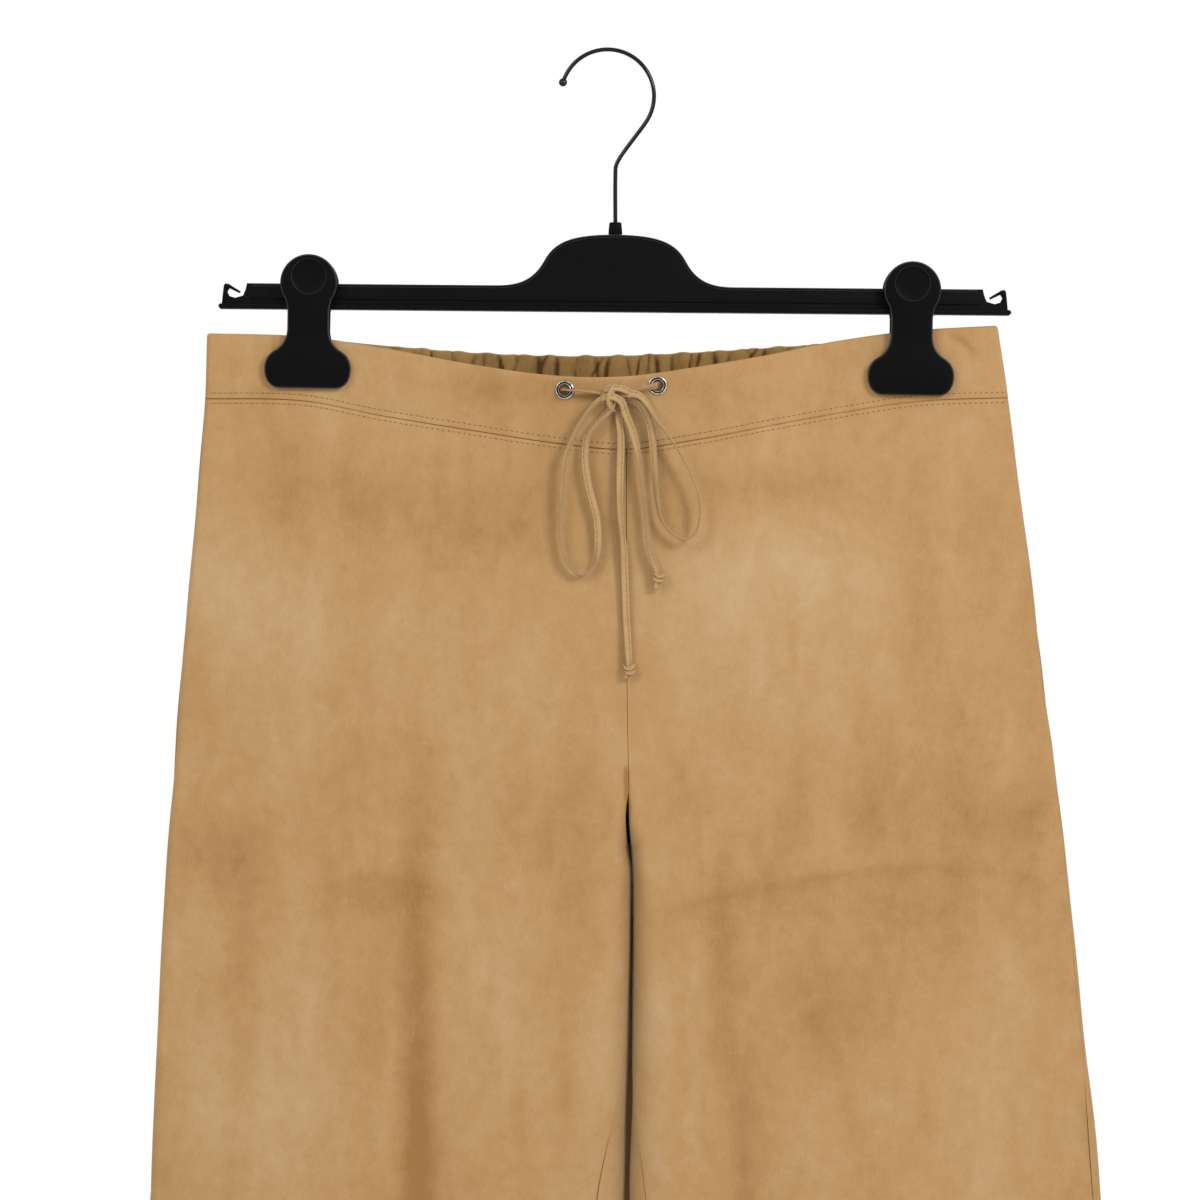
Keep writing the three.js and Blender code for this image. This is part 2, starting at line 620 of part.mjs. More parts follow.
function eyelet() {
  const { hole, rim, height } = EYELET;
  const profile = [[hole, 0], [rim, 0], [rim, 0.5], [4.3, height], [3.3, height], [hole, 0.7], [hole, 0]];
  const geometry = new THREE.LatheGeometry(profile.map(([x, y]) => new THREE.Vector2(x, y)), 20);
  return geometry.rotateX(Math.PI);
}

// The wire hook with its ball tip and ferrule
function hanger_hook() {
  const points = [];
  const turns = 18;
  for (let i = 0; i <= turns; i += 1) {
    const angle = rad(lerp(HOOK.tip, HOOK.end, i / turns));
    points.push([HOOK.x + HOOK.radius * Math.cos(angle), 0, HOOK.z + HOOK.radius * Math.sin(angle)]);
  }
  points.push([5.2, 0, -55], [3.1, 0, -59.4], [HOOK.stem, 0, -64], [HOOK.stem, 0, FERRULE.bottom + 1]);
  const [tipX, , tipZ] = points[0];
  const ball = new THREE.SphereGeometry(HOOK.ball, 10, 8).translate(tipX, 0, tipZ);
  const profile = [[0, FERRULE.bottom], [FERRULE.bottomRadius, FERRULE.bottom],
    [FERRULE.topRadius, FERRULE.top], [0, FERRULE.top]];
  const ferrule = new THREE.LatheGeometry(profile.map(([x, y]) => new THREE.Vector2(x, y)), 12);
  ferrule.rotateX(Math.PI / 2).translate(HOOK.stem, 0, 0);
  return union(tube(route(points), WIRE_RADIUS, 8, 5.5), ball, ferrule);
}

// The bar's outline goes round its right half and is mirrored for its left one.
function hanger_bar() {
  const right = new THREE.Path();
  right.moveTo(0, 0);
  right.lineTo(3.5, 0);
  right.bezierCurveTo(24, -0.5, 32, -4.5, 37, -14);
  right.bezierCurveTo(42.5, -24, 50, BAR.top, 62, BAR.top);
  const end = [[191.2, BAR.top], [191.9, -29.9], [193.2, -33.2], [197.3, -34.4], [200.4, -33.5], [201.5, -31.2],
    [200.4, -29.4], [195.2, -31.9], [194.6, -31], [200.8, -27.2], [202.6, -27], [203.3, -28.2], [204.3, -38],
    [204.3, BAR.bottom]];
  end.forEach(([x, z]) => right.lineTo(x, z));
  const half = right.getPoints(7);
  const mirrored = half.slice(1).reverse().map((p) => new THREE.Vector2(-p.x, p.y));
  const web = plate(new THREE.Shape([...half, ...mirrored]), BAR.deep).translate(0, BAR.deep / 2, 0);
  const lip = new THREE.BoxGeometry(2 * BAR.half, BAR.lipDeep, BAR.lipHigh);
  lip.translate(0, 0, BAR.bottom + BAR.lipHigh / 2);
  return union(web, lip);
}

function jawShape() {
  const { head, neck, foot, bottom } = CLIP;
  const shape = new THREE.Shape();
  shape.moveTo(-14.2, bottom);
  shape.lineTo(14.2, bottom);
  shape.bezierCurveTo(19.5, bottom, foot, -50.5, foot, -44.5);
  shape.bezierCurveTo(foot, -41, 20.8, -37.5, 17.5, -35.5);
  shape.bezierCurveTo(14, -33.6, neck, -30, neck, -23.5);
  shape.lineTo(neck, -14.4);
  shape.absarc(0, 0, head, rad(-36), rad(216), false);
  shape.lineTo(-neck, -14.4);
  shape.lineTo(-neck, -23.5);
  shape.bezierCurveTo(-neck, -30, -14, -33.6, -17.5, -35.5);
  shape.bezierCurveTo(-20.8, -37.5, -foot, -41, -foot, -44.5);
  shape.bezierCurveTo(-foot, -50.5, -19.5, bottom, -14.2, bottom);
  return shape;
}

const garment = new THREE.Group();

function add(name, geometry, material, parent = garment) {
  const mesh = new THREE.Mesh(geometry, material);
  mesh.name = name;
  parent.add(mesh);
  return mesh;
}

for (const side of [LEFT, RIGHT]) {
  const word = side === LEFT ? 'left' : 'right';
  for (const [face, place] of [[FRONT, 'front'], [BACK, 'back']]) {
    for (const [part, geometry] of Object.entries(panel(side, face))) {
      add(`${place}_leg_${word}_${part}`, geometry, suede);
    }
  }
}
add('waistband_front', waistband(FRONT), suede);
add('waistband_back', waistband(BACK), suede);

const eyelets = [
  { name: 'left', x: EYELET.xLeft, z: EYELET.zLeft, side: LEFT },
  { name: 'right', x: EYELET.xRight, z: EYELET.zRight, side: RIGHT },
];
for (const { name, x, z, side } of eyelets) {
  const { point, out } = frontFace(x, z);
  const ring = add(`eyelet_${name}`, eyelet(), nickel);
  ring.position.copy(point).addScaledVector(out, SEAM_GAP);
  ring.quaternion.setFromUnitVectors(new THREE.Vector3(0, -1, 0), out);
  add(`lace_run_${name}`, laceRun(x, z, side), lace);
}
add('lace_loop_left', tube(route(LOOP_LEFT), LACE_RADIUS, 8, LACE_STEP), lace);
add('lace_loop_right', tube(route(LOOP_RIGHT), LACE_RADIUS, 8, LACE_STEP), lace);
add('lace_tail_long', tube(route(TAIL_LONG), LACE_RADIUS, 8, LACE_STEP), lace);
add('lace_tail_short', tube(route(TAIL_SHORT), LACE_RADIUS, 8, LACE_STEP), lace);
add('lace_knot', bowKnot(), lace);
add('lace_end_long', endKnot(END_LONG), lace);
add('lace_end_short', endKnot(END_SHORT), lace);

add('hanger_hook', hanger_hook(), wire);
const bar = new THREE.Group();
bar.position.set(BAR.x, 0, BAR.z);
bar.rotation.y = rad(BAR.tilt);
garment.add(bar);
add('hanger_bar', hanger_bar(), plastic, bar);

for (const clip of CLIPS) {
  const group = new THREE.Group();
  group.position.set(clip.x, 0, clip.z);
  group.rotation.y = rad(clip.tilt);
  garment.add(group);
  for (const face of [FRONT, BACK]) {
    const jaw = plate(jawShape(), CLIP.thick, 5).translate(0, face === BACK ? CLIP.thick : 0, -CLIP.bottom);
    const hold = outline('edge', CLIPPED_END) + SEAM_GAP;
    const mesh = add(`${clip.name}_${face === FRONT ? 'front' : 'back'}_jaw`, jaw, plastic, group);
    mesh.rotation.x = rad(-face * CLIP.lean);
    mesh.position.set(0, face * hold, CLIP.bottom);
  }
  const spring = new THREE.CylinderGeometry(1, 1, CLIP.springWide, 12).rotateZ(Math.PI / 2);
  const coil = add(`${clip.name}_spring`, spring, wire, group);
  coil.position.z = clip.springZ - clip.z;
  coil.scale.set(1, CLIP.springDeep / 2, CLIP.springHigh / 2);
}

export default garment;
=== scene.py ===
"""Suede drawstring trousers on a clip hanger, dressed over their solids.

Sizes in the tables are millimetres, as a pattern cutter gives them. They are made metres where a
mesh is written. The front faces -Y and left and right are those of the front view.
"""

import math

import bmesh
import bpy
import numpy as np
from mathutils import Matrix, Vector


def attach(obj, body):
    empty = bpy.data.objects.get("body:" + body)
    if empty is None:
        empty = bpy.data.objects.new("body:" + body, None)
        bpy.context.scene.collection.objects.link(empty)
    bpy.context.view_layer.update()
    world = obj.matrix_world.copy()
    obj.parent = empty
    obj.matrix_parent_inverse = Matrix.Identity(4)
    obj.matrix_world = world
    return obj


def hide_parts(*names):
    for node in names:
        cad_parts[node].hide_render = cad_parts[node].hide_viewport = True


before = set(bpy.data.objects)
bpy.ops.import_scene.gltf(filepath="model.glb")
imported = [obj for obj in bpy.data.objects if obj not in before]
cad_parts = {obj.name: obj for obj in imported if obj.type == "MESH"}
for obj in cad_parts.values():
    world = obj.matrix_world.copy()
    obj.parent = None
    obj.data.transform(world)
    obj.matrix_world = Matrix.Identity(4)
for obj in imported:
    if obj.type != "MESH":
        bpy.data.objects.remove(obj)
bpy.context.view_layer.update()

MM = 0.001
FRONT, BACK = -1, 1
LEFT, RIGHT = -1, 1
SIDE = {LEFT: "left", RIGHT: "right"}
FACE = {FRONT: "front", BACK: "back"}

# The solids that make up a front and a back leg panel, side seam first, each in two lengths
STRIPS = {FRONT: ("side", "middle", "inner"), BACK: ("side", "middle", "near", "inner")}

# The camera looks level at the trousers, as the photograph does
VIEW_CENTRE = (-5.2, -285.0)
VIEW_WIDTH = 624.0
SENSOR = 36
VIEW_DISTANCE = 2600.0

# Cloth sizes
SUEDE, CASING, SEAM_GAP, HEM_TURN, BACK_BAND_HEIGHT = 1.5, 2.4, 0.3, 25, 35
TOP_LEVEL, SEAM_FOLLOWED_TO, CLIPPED_END, HIP, HEM = -205, -262, -178, -300, -1180
RISE_TOP_FRONT, RISE_TOP_BACK, CROTCH = -372, -336, -412
BOW_HALF_WIDTH, GATHER_HEIGHT, GATHER_FADE_END = 136, 1.3, -266
EDGE_SHARE, INNER_START = 0.12, 0.8
MOST_LAP, SEAM_LAP, LAP_LEVELS, LAP_FADE = 8.0, 1.2, (-388, -436), (-900, -700)
RISE_SHARPNESS = {LEFT: 0.58, RIGHT: 0.68, "back": 0.5}
SLIT_TOP, SLIT_END, SLIT_WIDE = -385, -424, 2.4

# The heights at which the places of the columns are read, and how finely a place is found
PANEL_LEVEL, BAND_LEVEL, GATHER_LEVEL = -195, -165, -190
COLUMN_STEP, HALVINGS = 0.004, 34

# Height, left edge, right edge, centre, gap between the legs, how far the front and the back stand
# out, radius of the side fold, width of the inner rounding, fullest place across the leg, and how
# far round onto the front the left inseam, right inseam and right side seam lie
OUTLINE = np.array([
    (-142, -209.3, 201.5, 8.5, 0.3, 13, 10, 2.7, 6, 1, 0, 0, 0),
    (-180, -210.6, 207, 8.5, 0.3, 13, 11, 2.7, 6, 1, 0, 0, 0),
    (-243, -215.8, 214.8, 8.5, 0.3, 14, 15, 3.2, 6, 1, 0, 0, 0),
    (-306, -221.5, 222.6, 8.5, 0.3, 16, 19, 3.6, 6, 1, 0, 0, 0),
    (-388, -227.8, 233.4, 9.8, 0.3, 18, 21, 4, 7, 1, 0, 0, 0.5),
    (-430, -231, 238.4, 11.5, 1, 19, 21, 4, 10, 0.94, 0, 0, 1.5),
    (-525, -235.8, 248.3, 10.6, 1.6, 20, 21, 4, 22, 0.8, 3.5, 0, 3),
    (-597, -238.7, 255.3, 8.8, 3.6, 21, 22, 4, 34, 0.7, 14, 8, 4.5),
    (-800, -249, 273, 8.5, 6, 23, 24, 4, 80, 0.6, 28, 25, 7),
    (-1000, -262, 286, 8.5, 9, 25, 26, 4, 120, 0.56, 32, 31, 8),
    (-1180, -274, 297, 8.5, 12, 27, 28, 4, 135, 0.55, 34, 34, 8),
], float)
COLUMNS = ("z", "left", "right", "centre", "gap", "front", "back", "edge", "inner", "peak",
           "inseam_left", "inseam_right", "outseam_right")

# Place across, top edge of the front, its seam, and top edge of the back
WAIST = np.array([
    (-212, -146.3, -180.4, -146.8),
    (-160, -148, -181.5, -148.6),
    (-118, -154, -189.4, -152.6),
    (-72, -162.8, -197, -156.2),
    (-28, -168.9, -203.9, -157.7),
    (8, -169.3, -207.1, -157.4),
    (45, -164.3, -202, -155.9),
    (82, -157.9, -194.8, -153.8),
    (118, -150.6, -188.1, -151.2),
    (160, -145, -181.8, -145.6),
    (208, -142.2, -179.9, -142.6),
], float)

# Where the elastic back creases, and how full the gather after each crease is
GATHERS = ((-113, 0.6), (-102, 0.8), (-92.6, 0.9), (-82.2, 1), (-70, 0.8), (-58.2, 1), (-48, 0.9),
           (-37.4, 1), (-27.6, 0.8), (-17, 1), (-7.8, 0.8), (0, 0.9), (8.5, 0.8), (16, 0.9), (24, 1),
           (32.5, 0.9), (42.5, 1), (54, 0.8), (63, 0.9), (72, 1), (81, 0.9), (93, 0.8), (104, 0.6),
           (113, 0))

# The large soft troughs: leg, face, middle, top, bottom, width, depth
TROUGHS = (
    (LEFT, FRONT, -179, -192, -320, 13, 1.6),
    (LEFT, FRONT, -97, -360, -1290, 27, 5),
    (LEFT, FRONT, -24, -520, -900, 15, 2.5),
    (RIGHT, FRONT, 61, -390, -1290, 25, 5),
    (RIGHT, FRONT, 190, -560, -1290, 24, 3),
    (LEFT, BACK, -128, -340, -1290, 30, 5),
    (LEFT, BACK, -60, -540, -1290, 22, 3),
    (RIGHT, BACK, 128, -330, -1290, 30, 5),
    (RIGHT, BACK, 70, -560, -1290, 22, 3),
)
BREAK_LEVEL, BREAK_HEIGHT, BREAK_DEPTH = -428, 34, 1.6

# Ripples all over the cloth: waves across, waves up, phase, height
RIPPLES = ((0.052, 0.011, 0.4, 0.28), (-0.031, 0.046, 1.7, 0.22), (0.083, -0.024, 2.9, 0.14),
           (0.021, 0.073, 4.4, 0.16), (-0.118, 0.035, 5.2, 0.08), (0.064, 0.089, 0.9, 0.09))
RIPPLE_SHIFT = {FRONT: 0, BACK: 2.1}

# Small soft creases on each leg's faces: the line's three points, width, depth (a ridge where negative)
CREASES = {
    (LEFT, FRONT): (
        (-176, -184, -179, -225, -186, -275, 3.5, 0.45), (-118, -196, -121, -226, -119, -252, 4.5, 0.3),
        (-62, -204, -66, -240, -62, -280, 7, 0.4), (-22, -210, -20, -232, -26, -262, 5, -0.25),
        (0, -372, -14, -384, -34, -392, 4, 0.4), (2, -398, -20, -415, -52, -428, 7, 0.6),
        (-6, -430, -30, -455, -44, -500, 9, 0.5), (-150, -410, -190, -418, -226, -410, 12, 0.6),
        (-146, -500, -152, -590, -140, -700, 13, -0.7), (-196, -560, -204, -680, -196, -800, 12, 0.8),
        (-60, -640, -66, -760, -52, -880, 12, 0.9), (-210, -930, -190, -1010, -196, -1120, 14, 0.9),
    ),
    (RIGHT, FRONT): (
        (176, -158, 186, -160, 193, -166, 2.2, 0.35), (52, -206, 50, -236, 57, -268, 6, 0.35),
        (112, -196, 116, -228, 110, -256, 6, 0.35), (150, -190, 156, -225, 149, -262, 7, -0.3),
        (20, -370, 34, -381, 54, -388, 5, 0.35), (24, -424, 74, -436, 140, -434, 9, 0.5),
        (120, -436, 178, -431, 232, -438, 8, 0.6), (24, -470, 38, -500, 36, -560, 9, 0.45),
        (118, -500, 124, -560, 116, -640, 12, 0.8), (228, -360, 236, -386, 240, -410, 5, 0.5),
        (150, -720, 158, -860, 146, -980, 14, 0.9), (92, -900, 100, -1000, 112, -1100, 14, -0.9),
    ),
    (LEFT, BACK): (
        (4, -350, -26, -368, -62, -376, 8, 0.8), (2, -396, -40, -420, -96, -436, 10, 1.0),
        (-190, -250, -198, -330, -190, -400, 12, 0.7), (-96, -300, -104, -380, -92, -450, 11, 0.6),
        (-186, -600, -196, -740, -184, -860, 13, 0.9), (-90, -760, -98, -900, -84, -1040, 14, 1.0),
    ),
    (RIGHT, BACK): (
        (14, -346, 46, -362, 80, -368, 8, 0.8), (18, -402, 60, -424, 118, -446, 10, 1.0),
        (184, -240, 192, -310, 180, -390, 12, 0.7), (96, -290, 88, -370, 98, -440, 11, 0.6),
        (200, -560, 212, -700, 202, -850, 13, 0.9), (96, -800, 106, -930, 92, -1060, 14, 1.0),
    ),
}

# The back has the front's patches of nap tone, painted shade and painted light turned over about this place
# and lower down
NAP_MIRROR, NAP_LOWER = 14, 22

# Where the cloth is painted darker, or paler where the strength is negative, for nap tone, painted shade
# along troughs and folds and painted light where the cloth rounds in: place, height, half width, half height,
# strength
NAP_SHADE_AND_LIGHT_PATCHES = (
    (-144, -229, 50, 22, 0.45), (-68, -250, 50, 30, 0.45), (-60, -246, 20, 12, 0.1),
    (-50, -176, 42, 8, 0.45), (30, -170, 20, 10, 0.2), (85, -226, 40, 12, 0.45), (164, -290, 12, 60, 0.22),
    (196, -396, 34, 20, 0.4), (-206, -417, 26, 26, 0.5), (-99, -500, 9, 140, 0.8),
    (-99, -600, 9, 100, 0.5), (-104, -500, 22, 120, 0.2), (-116, -438, 28, 12, 0.4),
    (-19, -410, 22, 38, 0.35), (112, -493, 22, 28, 0.5), (58, -480, 8, 60, 0.6), (68, -560, 9, 50, 0.5),
    (130, -396, 16, 24, 0.3), (-23, -527, 6, 60, 0.35), (43, -375, 10, 30, 0.25),
    (-192, -472, 10, 50, 0.3), (120, -440, 110, 14, 0.25), (-150, -660, 40, 90, 0.2),
    (120, -760, 20, 120, 0.3), (190, -900, 24, 140, 0.3), (-200, -960, 22, 120, 0.3),
    (-90, -860, 14, 150, 0.35), (60, -1000, 16, 110, 0.3), (-172, -292, 36, 36, -0.5),
    (85, -271, 60, 26, -0.5), (57, -320, 50, 30, -0.25), (160, -420, 30, 160, 0.2),
    (200, -545, 30, 60, -0.25), (-54, -472, 14, 50, -0.3), (44, -446, 12, 24, 0.3),
    (-178, -541, 30, 50, -0.4), (-212, -560, 16, 60, -0.35), (-30, -320, 20, 50, -0.2),
    (150, -165, 40, 9, -0.25), (-115, -320, 34, 60, -0.25), (24, -520, 8, 60, -0.3),
    (-40, -700, 30, 80, -0.2), (170, -700, 40, 70, -0.25), (-140, -1040, 40, 90, -0.25),
    (120, -1090, 50, 60, -0.25),
)

# Lines of painted shade along creases and folds, the right pucker, the slit's top and the join at the left:
# their points, half width and strength
PAINTED_SHADE_LINES = (
    (((20, -446), (40, -443), (64, -437), (126, -426), (168, -423), (205, -428), (236, -434)), 3.2, 0.3),
    (((-150, -434), (-128, -429), (-100, -431), (-84, -438)), 3, 0.2),
    (((175, -147), (184, -151), (191, -158)), 2.2, 0.5),
    (((8.2, -370), (8.8, -384), (9.6, -398)), 1.5, 1.6),
    (((-174.6, -144), (-174.4, -154), (-174, -164)), 1.0, 0.5),
    (((168, -172), (178, -176), (186, -186)), 5, 0.25),
)

# The lace's stretches. Each point has the turn of the flat lace, 0 facing the front, 90 on edge.
FROM_LEFT_EYELET = (
    (-23.5, -12.6, -176.4, 90), (-23.3, -16.4, -176.4, 90), (-20.3, -20.4, -176.8, 88),
    (-12, -19.6, -177.4, 84), (-4.8, -18.8, -178.4, 80), (-1.8, -18.6, -178.6, 70), (3, -19.4, -178.6, 40),
)
RIGHT_LOOP = (
    (9.8, -22.4, -178.6, 10), (12.4, -22.5, -178.7, 15), (16.4, -23.2, -180.6, 35),
    (25.6, -24.4, -194, 72), (32.2, -24.6, -203.3, 84), (41.1, -24.6, -218.7, 88),
    (45.8, -24.4, -231.9, 90), (46, -24.2, -243.4, 90), (43.7, -24, -250.6, 90), (38.2, -23.6, -253.8, 90),
    (31.2, -23, -249.9, 88), (26.2, -22.4, -243.4, 80), (24.4, -22, -234.8, 66), (23, -21.4, -220, 40),
    (21.8, -20.8, -203, 16), (19.6, -20.4, -192, 14), (15.4, -20.2, -184.4, 18), (12.2, -19.6, -182.4, 24),
    (9.8, -19, -181.4, 24),
)
LONG_TAIL = (
    (7, -18.6, -181.2, 18), (5, -18.3, -182.8, 10), (4.3, -18.3, -186, 4), (4.6, -18.9, -190, 2),
    (5.6, -20.2, -201.8, 2), (5.2, -21, -220, 12), (5.2, -21.4, -237.6, 30), (6.2, -21.6, -250, 48),
    (7, -21.8, -257, 36), (7.5, -21.8, -268, 12), (8.3, -22, -291.2, 6), (9.3, -22.8, -308.9, 22),
    (9.8, -23.3, -317.3, 40), (10, -23.4, -320.2, 40), (8.6, -23.4, -325.4, 30),
)
FROM_RIGHT_EYELET = (
    (24.6, -12.4, -174.1, 30), (24.4, -16.2, -174.2, 34), (21.4, -20.2, -174.9, 52),
    (17, -20.2, -176.4, 60), (12.8, -18.8, -178.4, 60), (9.8, -18.6, -178.6, 50), (5, -19.2, -179.6, 30),
)
LEFT_LOOP = (
    (-1.8, -21.8, -181.6, 12), (-4.4, -21.8, -181.8, 26), (-8.6, -22, -185, 52),
    (-13.6, -22.3, -191.6, 58), (-18.7, -22.4, -200.7, 56), (-23.4, -22.4, -212.7, 58),
    (-25, -22.4, -231.9, 70), (-25, -22.6, -255.3, 88), (-21.3, -22.8, -267.3, 90),
    (-15.1, -22.8, -272, 90), (-8.3, -22.4, -267.3, 76), (-6.3, -22, -256.9, 20), (-6.8, -21.8, -243.9, 6),
    (-11.2, -21.6, -225.7, 4), (-13, -21.4, -211.1, 16), (-11.6, -21.4, -200, 46),
    (-6.6, -21.6, -193.4, 58), (-2, -21.8, -189.2, 50), (0.6, -21.8, -185.6, 36),
)
SHORT_TAIL = (
    (1.6, -21.8, -182.8, 28), (3.7, -22, -181, 20), (5.9, -22.3, -182.4, 12), (7.1, -22.4, -185.6, 6),
    (8.2, -22.4, -189.4, 4), (11, -22.4, -196.4, 10), (14, -22.4, -208, 40), (15.8, -22.4, -220, 76),
    (17, -22.2, -230, 82), (18.2, -22, -240, 82), (19.4, -22.2, -256, 76), (21.8, -22.4, -264.2, 56),
    (24.3, -22.7, -269.8, 40), (25.2, -22.8, -272.6, 40), (24, -22.8, -279, 24),
)
LACE_WIDTH, LACE_THICK = 4.2, 1.1

# How finely a lace is followed, its map's scale, and how nearly it runs straight to the back or the
# front where its turn is carried on from the point before
LACE_STEP, LACE_MAP, END_ON = 1.2, 10, 0.35

# The strands that show on the bow's knot, then the centre and the tilt of each tail's knot
KNOT_STRANDS = (
    ((-3.6, -19.4, -178.2, 40), (-2.4, -22.2, -176.6, 20), (1.6, -24.2, -175.6, 8), (6.4, -24.2, -176.2, 8),
     (10, -22.4, -178.2, 24), (10.4, -19.8, -180.6, 40)),
    ((-3.4, -19.2, -183.6, 50), (-4.4, -22.4, -181.6, 30), (-2, -24.6, -180.4, 12), (2.4, -25.1, -180.6, 4),
     (6, -24.2, -183.2, 6), (7.2, -22.8, -186.6, 6)),
    ((4.2, -18.6, -175.6, 20), (3, -22.6, -174.9, 12), (0.6, -25, -177.8, 30), (-0.6, -25, -182, 40),
     (0.8, -22.6, -185.8, 30), (2.6, -19, -186.4, 20)),
)
END_KNOTS = {"long": ((10, -23.4, -320.2), 8), "short": ((25.2, -22.8, -272.6), -14)}

# The rows of topstitching, above and below the waist seam
ROW_OFFSETS = (3.0, -2.3)

# Eyelets and hanger: places are across and height, angles are degrees
EYELETS = {"left": (-23.5, -176.4), "right": (24.6, -174.1)}
EYELET_HOLE, EYELET_RIM, EYELET_HEIGHT = 2.7, 5.0, 1.3
WIRE_RADIUS = 1.1
HOOK = {"x": -1.3, "z": -22.9, "radius": 24.2, "tip": 163, "end": -35, "ball": 2.2, "stem": 2.8}
BAR_PLACE, BAR_TILT = (2.8, -95.2), 0.49
BAR_TOP, BAR_BOTTOM, BAR_HALF, BAR_DEEP, LIP_HIGH, LIP_DEEP = -26.8, -40.1, 205.8, 6.0, 2.6, 10.0
CLIPS = {"left": (-156.2, -120.3), "right": (156.9, -124.0)}
CLIP_TILT, CLIP_LEAN, CLIP_BOTTOM, CLIP_THICK, CLIP_HOLD = 1.0, 3.3, -54.7, 3.0, 3.0
CLIP_HEAD, CLIP_NECK, CLIP_FOOT = 14.8, 10.8, 22.4
SPRING_LEVEL, SPRING_WIDE, SPRING_DEEP, SPRING_HIGH = -141.0, 18.0, 9.2, 6.4

# The dish sunk in a clip's head: share of its radius, share of its depth
DISH_STEPS = ((1, 0), (0.97, 0.25), (0.9, 0.7), (0.8, 0.95), (0.5, 1), (0.2, 1))


def link(name, data):
    piece = bpy.data.objects.new(name, data)
    bpy.context.scene.collection.objects.link(piece)
    return piece


def place_camera():
    """A level camera whose picture is as wide as the photograph's at the trousers."""
    data = bpy.data.cameras.new("studio_camera")
    data.sensor_fit = "HORIZONTAL"
    data.sensor_width = SENSOR
    data.lens = SENSOR * VIEW_DISTANCE / VIEW_WIDTH
    data.clip_end = 50
    camera = link("studio_camera", data)
    camera.location = (VIEW_CENTRE[0] * MM, -VIEW_DISTANCE * MM, VIEW_CENTRE[1] * MM)
    camera.rotation_euler = (math.radians(90), 0, 0)
    bpy.context.scene.camera = camera


def made_of(name, work, smooth):
    """A piece from a bmesh: faces pointing out, smooth but for edges sharper than an angle."""
    bmesh.ops.recalc_face_normals(work, faces=work.faces)
    mesh = bpy.data.meshes.new(name)
    work.to_mesh(mesh)
    work.free()
    mesh.shade_smooth()
    mesh.set_sharp_from_angle(angle=math.radians(smooth))
    return link(name, mesh)


def solid(name, points, faces, smooth=50):
    """A piece from points in millimetres and faces."""
    mesh = bpy.data.meshes.new(name)
    mesh.from_pydata((np.array(points, float) * MM).tolist(), [], faces)
    work = bmesh.new()
    work.from_mesh(mesh)
    bpy.data.meshes.remove(mesh)
    return made_of(name, work, smooth)


def loft_faces(rings, count, closed=False):
    """Faces between rings of points, closed into a loop of rings or by a face at each end."""
    faces = []
    for i in range(rings if closed else rings - 1):
        a, b = i * count, (i + 1) % rings * count
        faces += [(a + k, a + (k + 1) % count, b + (k + 1) % count, b + k) for k in range(count)]
    if not closed:
        faces += [tuple(range(count))[::-1], tuple(range((rings - 1) * count, rings * count))]
    return faces


def unit(vectors):
    return vectors / np.linalg.norm(vectors, axis=-1, keepdims=True)


def run_along(points):
    """How far along its line each point lies."""
    return np.concatenate([[0], np.cumsum(np.linalg.norm(np.diff(points, axis=0), axis=1))])


def hermite(t, span, start, slope, end, end_slope):
    return ((2 * t**3 - 3 * t**2 + 1) * start + (t**3 - 2 * t**2 + t) * span * slope
            + (3 * t**2 - 2 * t**3) * end + (t**3 - t**2) * span * end_slope)


def curve_through(points, step):
    """Evenly spaced places on a smooth curve through the points, with any extra columns carried on."""
    rows = np.array(points, float)
    gaps = np.linalg.norm(np.diff(rows[:, :3], axis=0), axis=1)
    knots = np.concatenate([[0], np.cumsum(np.sqrt(gaps))])
    slopes = np.gradient(rows, knots, axis=0)
    fine = np.linspace(0, knots[-1], 40 * len(rows))
    i = np.clip(np.searchsorted(knots, fine, side="right") - 1, 0, len(rows) - 2)
    span = (knots[i + 1] - knots[i])[:, None]
    t = (fine - knots[i])[:, None] / span
    dense = hermite(t, span, rows[i], slopes[i], rows[i + 1], slopes[i + 1])
    run = run_along(dense[:, :3])
    places = np.linspace(0, run[-1], max(2, int(round(run[-1] / step)) + 1))
    return np.stack([np.interp(places, run, column) for column in dense.T], axis=1)


def lace_section():
    """Half the width and thickness of a flat folded lace, with a groove along its middle."""
    across = np.linspace(-1, 1, 9)
    height = np.where(np.abs(across) > 0.9, 0.35, 1.0) - 0.3 * np.exp(-((across - 0.25) / 0.16) ** 2)
    return np.concatenate([[across, height], [across[::-1], -height[::-1]]], axis=1)[..., None]


def ribbon(points, width, thick):
    """A flat lace along a route, as rings of points and the route's middle points."""
    line = curve_through(points, LACE_STEP)
    middle = line[:, :3]
    ahead = unit(np.gradient(middle, axis=0))
    flat = np.cross(ahead, (0.0, 1.0, 0.0))
    strength = np.linalg.norm(flat, axis=1)
    for i in range(len(flat)):
        if strength[i] < END_ON:
            last = flat[i - 1] if i else np.array([0.0, 0.0, 1.0])
            flat[i] = last - ahead[i] * np.dot(last, ahead[i])
        flat[i] = unit(flat[i])
    up = np.cross(flat, ahead)
    turn = np.radians(line[:, 3])[:, None]
    wide = flat * np.cos(turn) + up * np.sin(turn)
    proud = up * np.cos(turn) - flat * np.sin(turn)
    across, high = lace_section()
    return middle[:, None] + wide[:, None] * across * width / 2 + proud[:, None] * high * thick / 2, middle


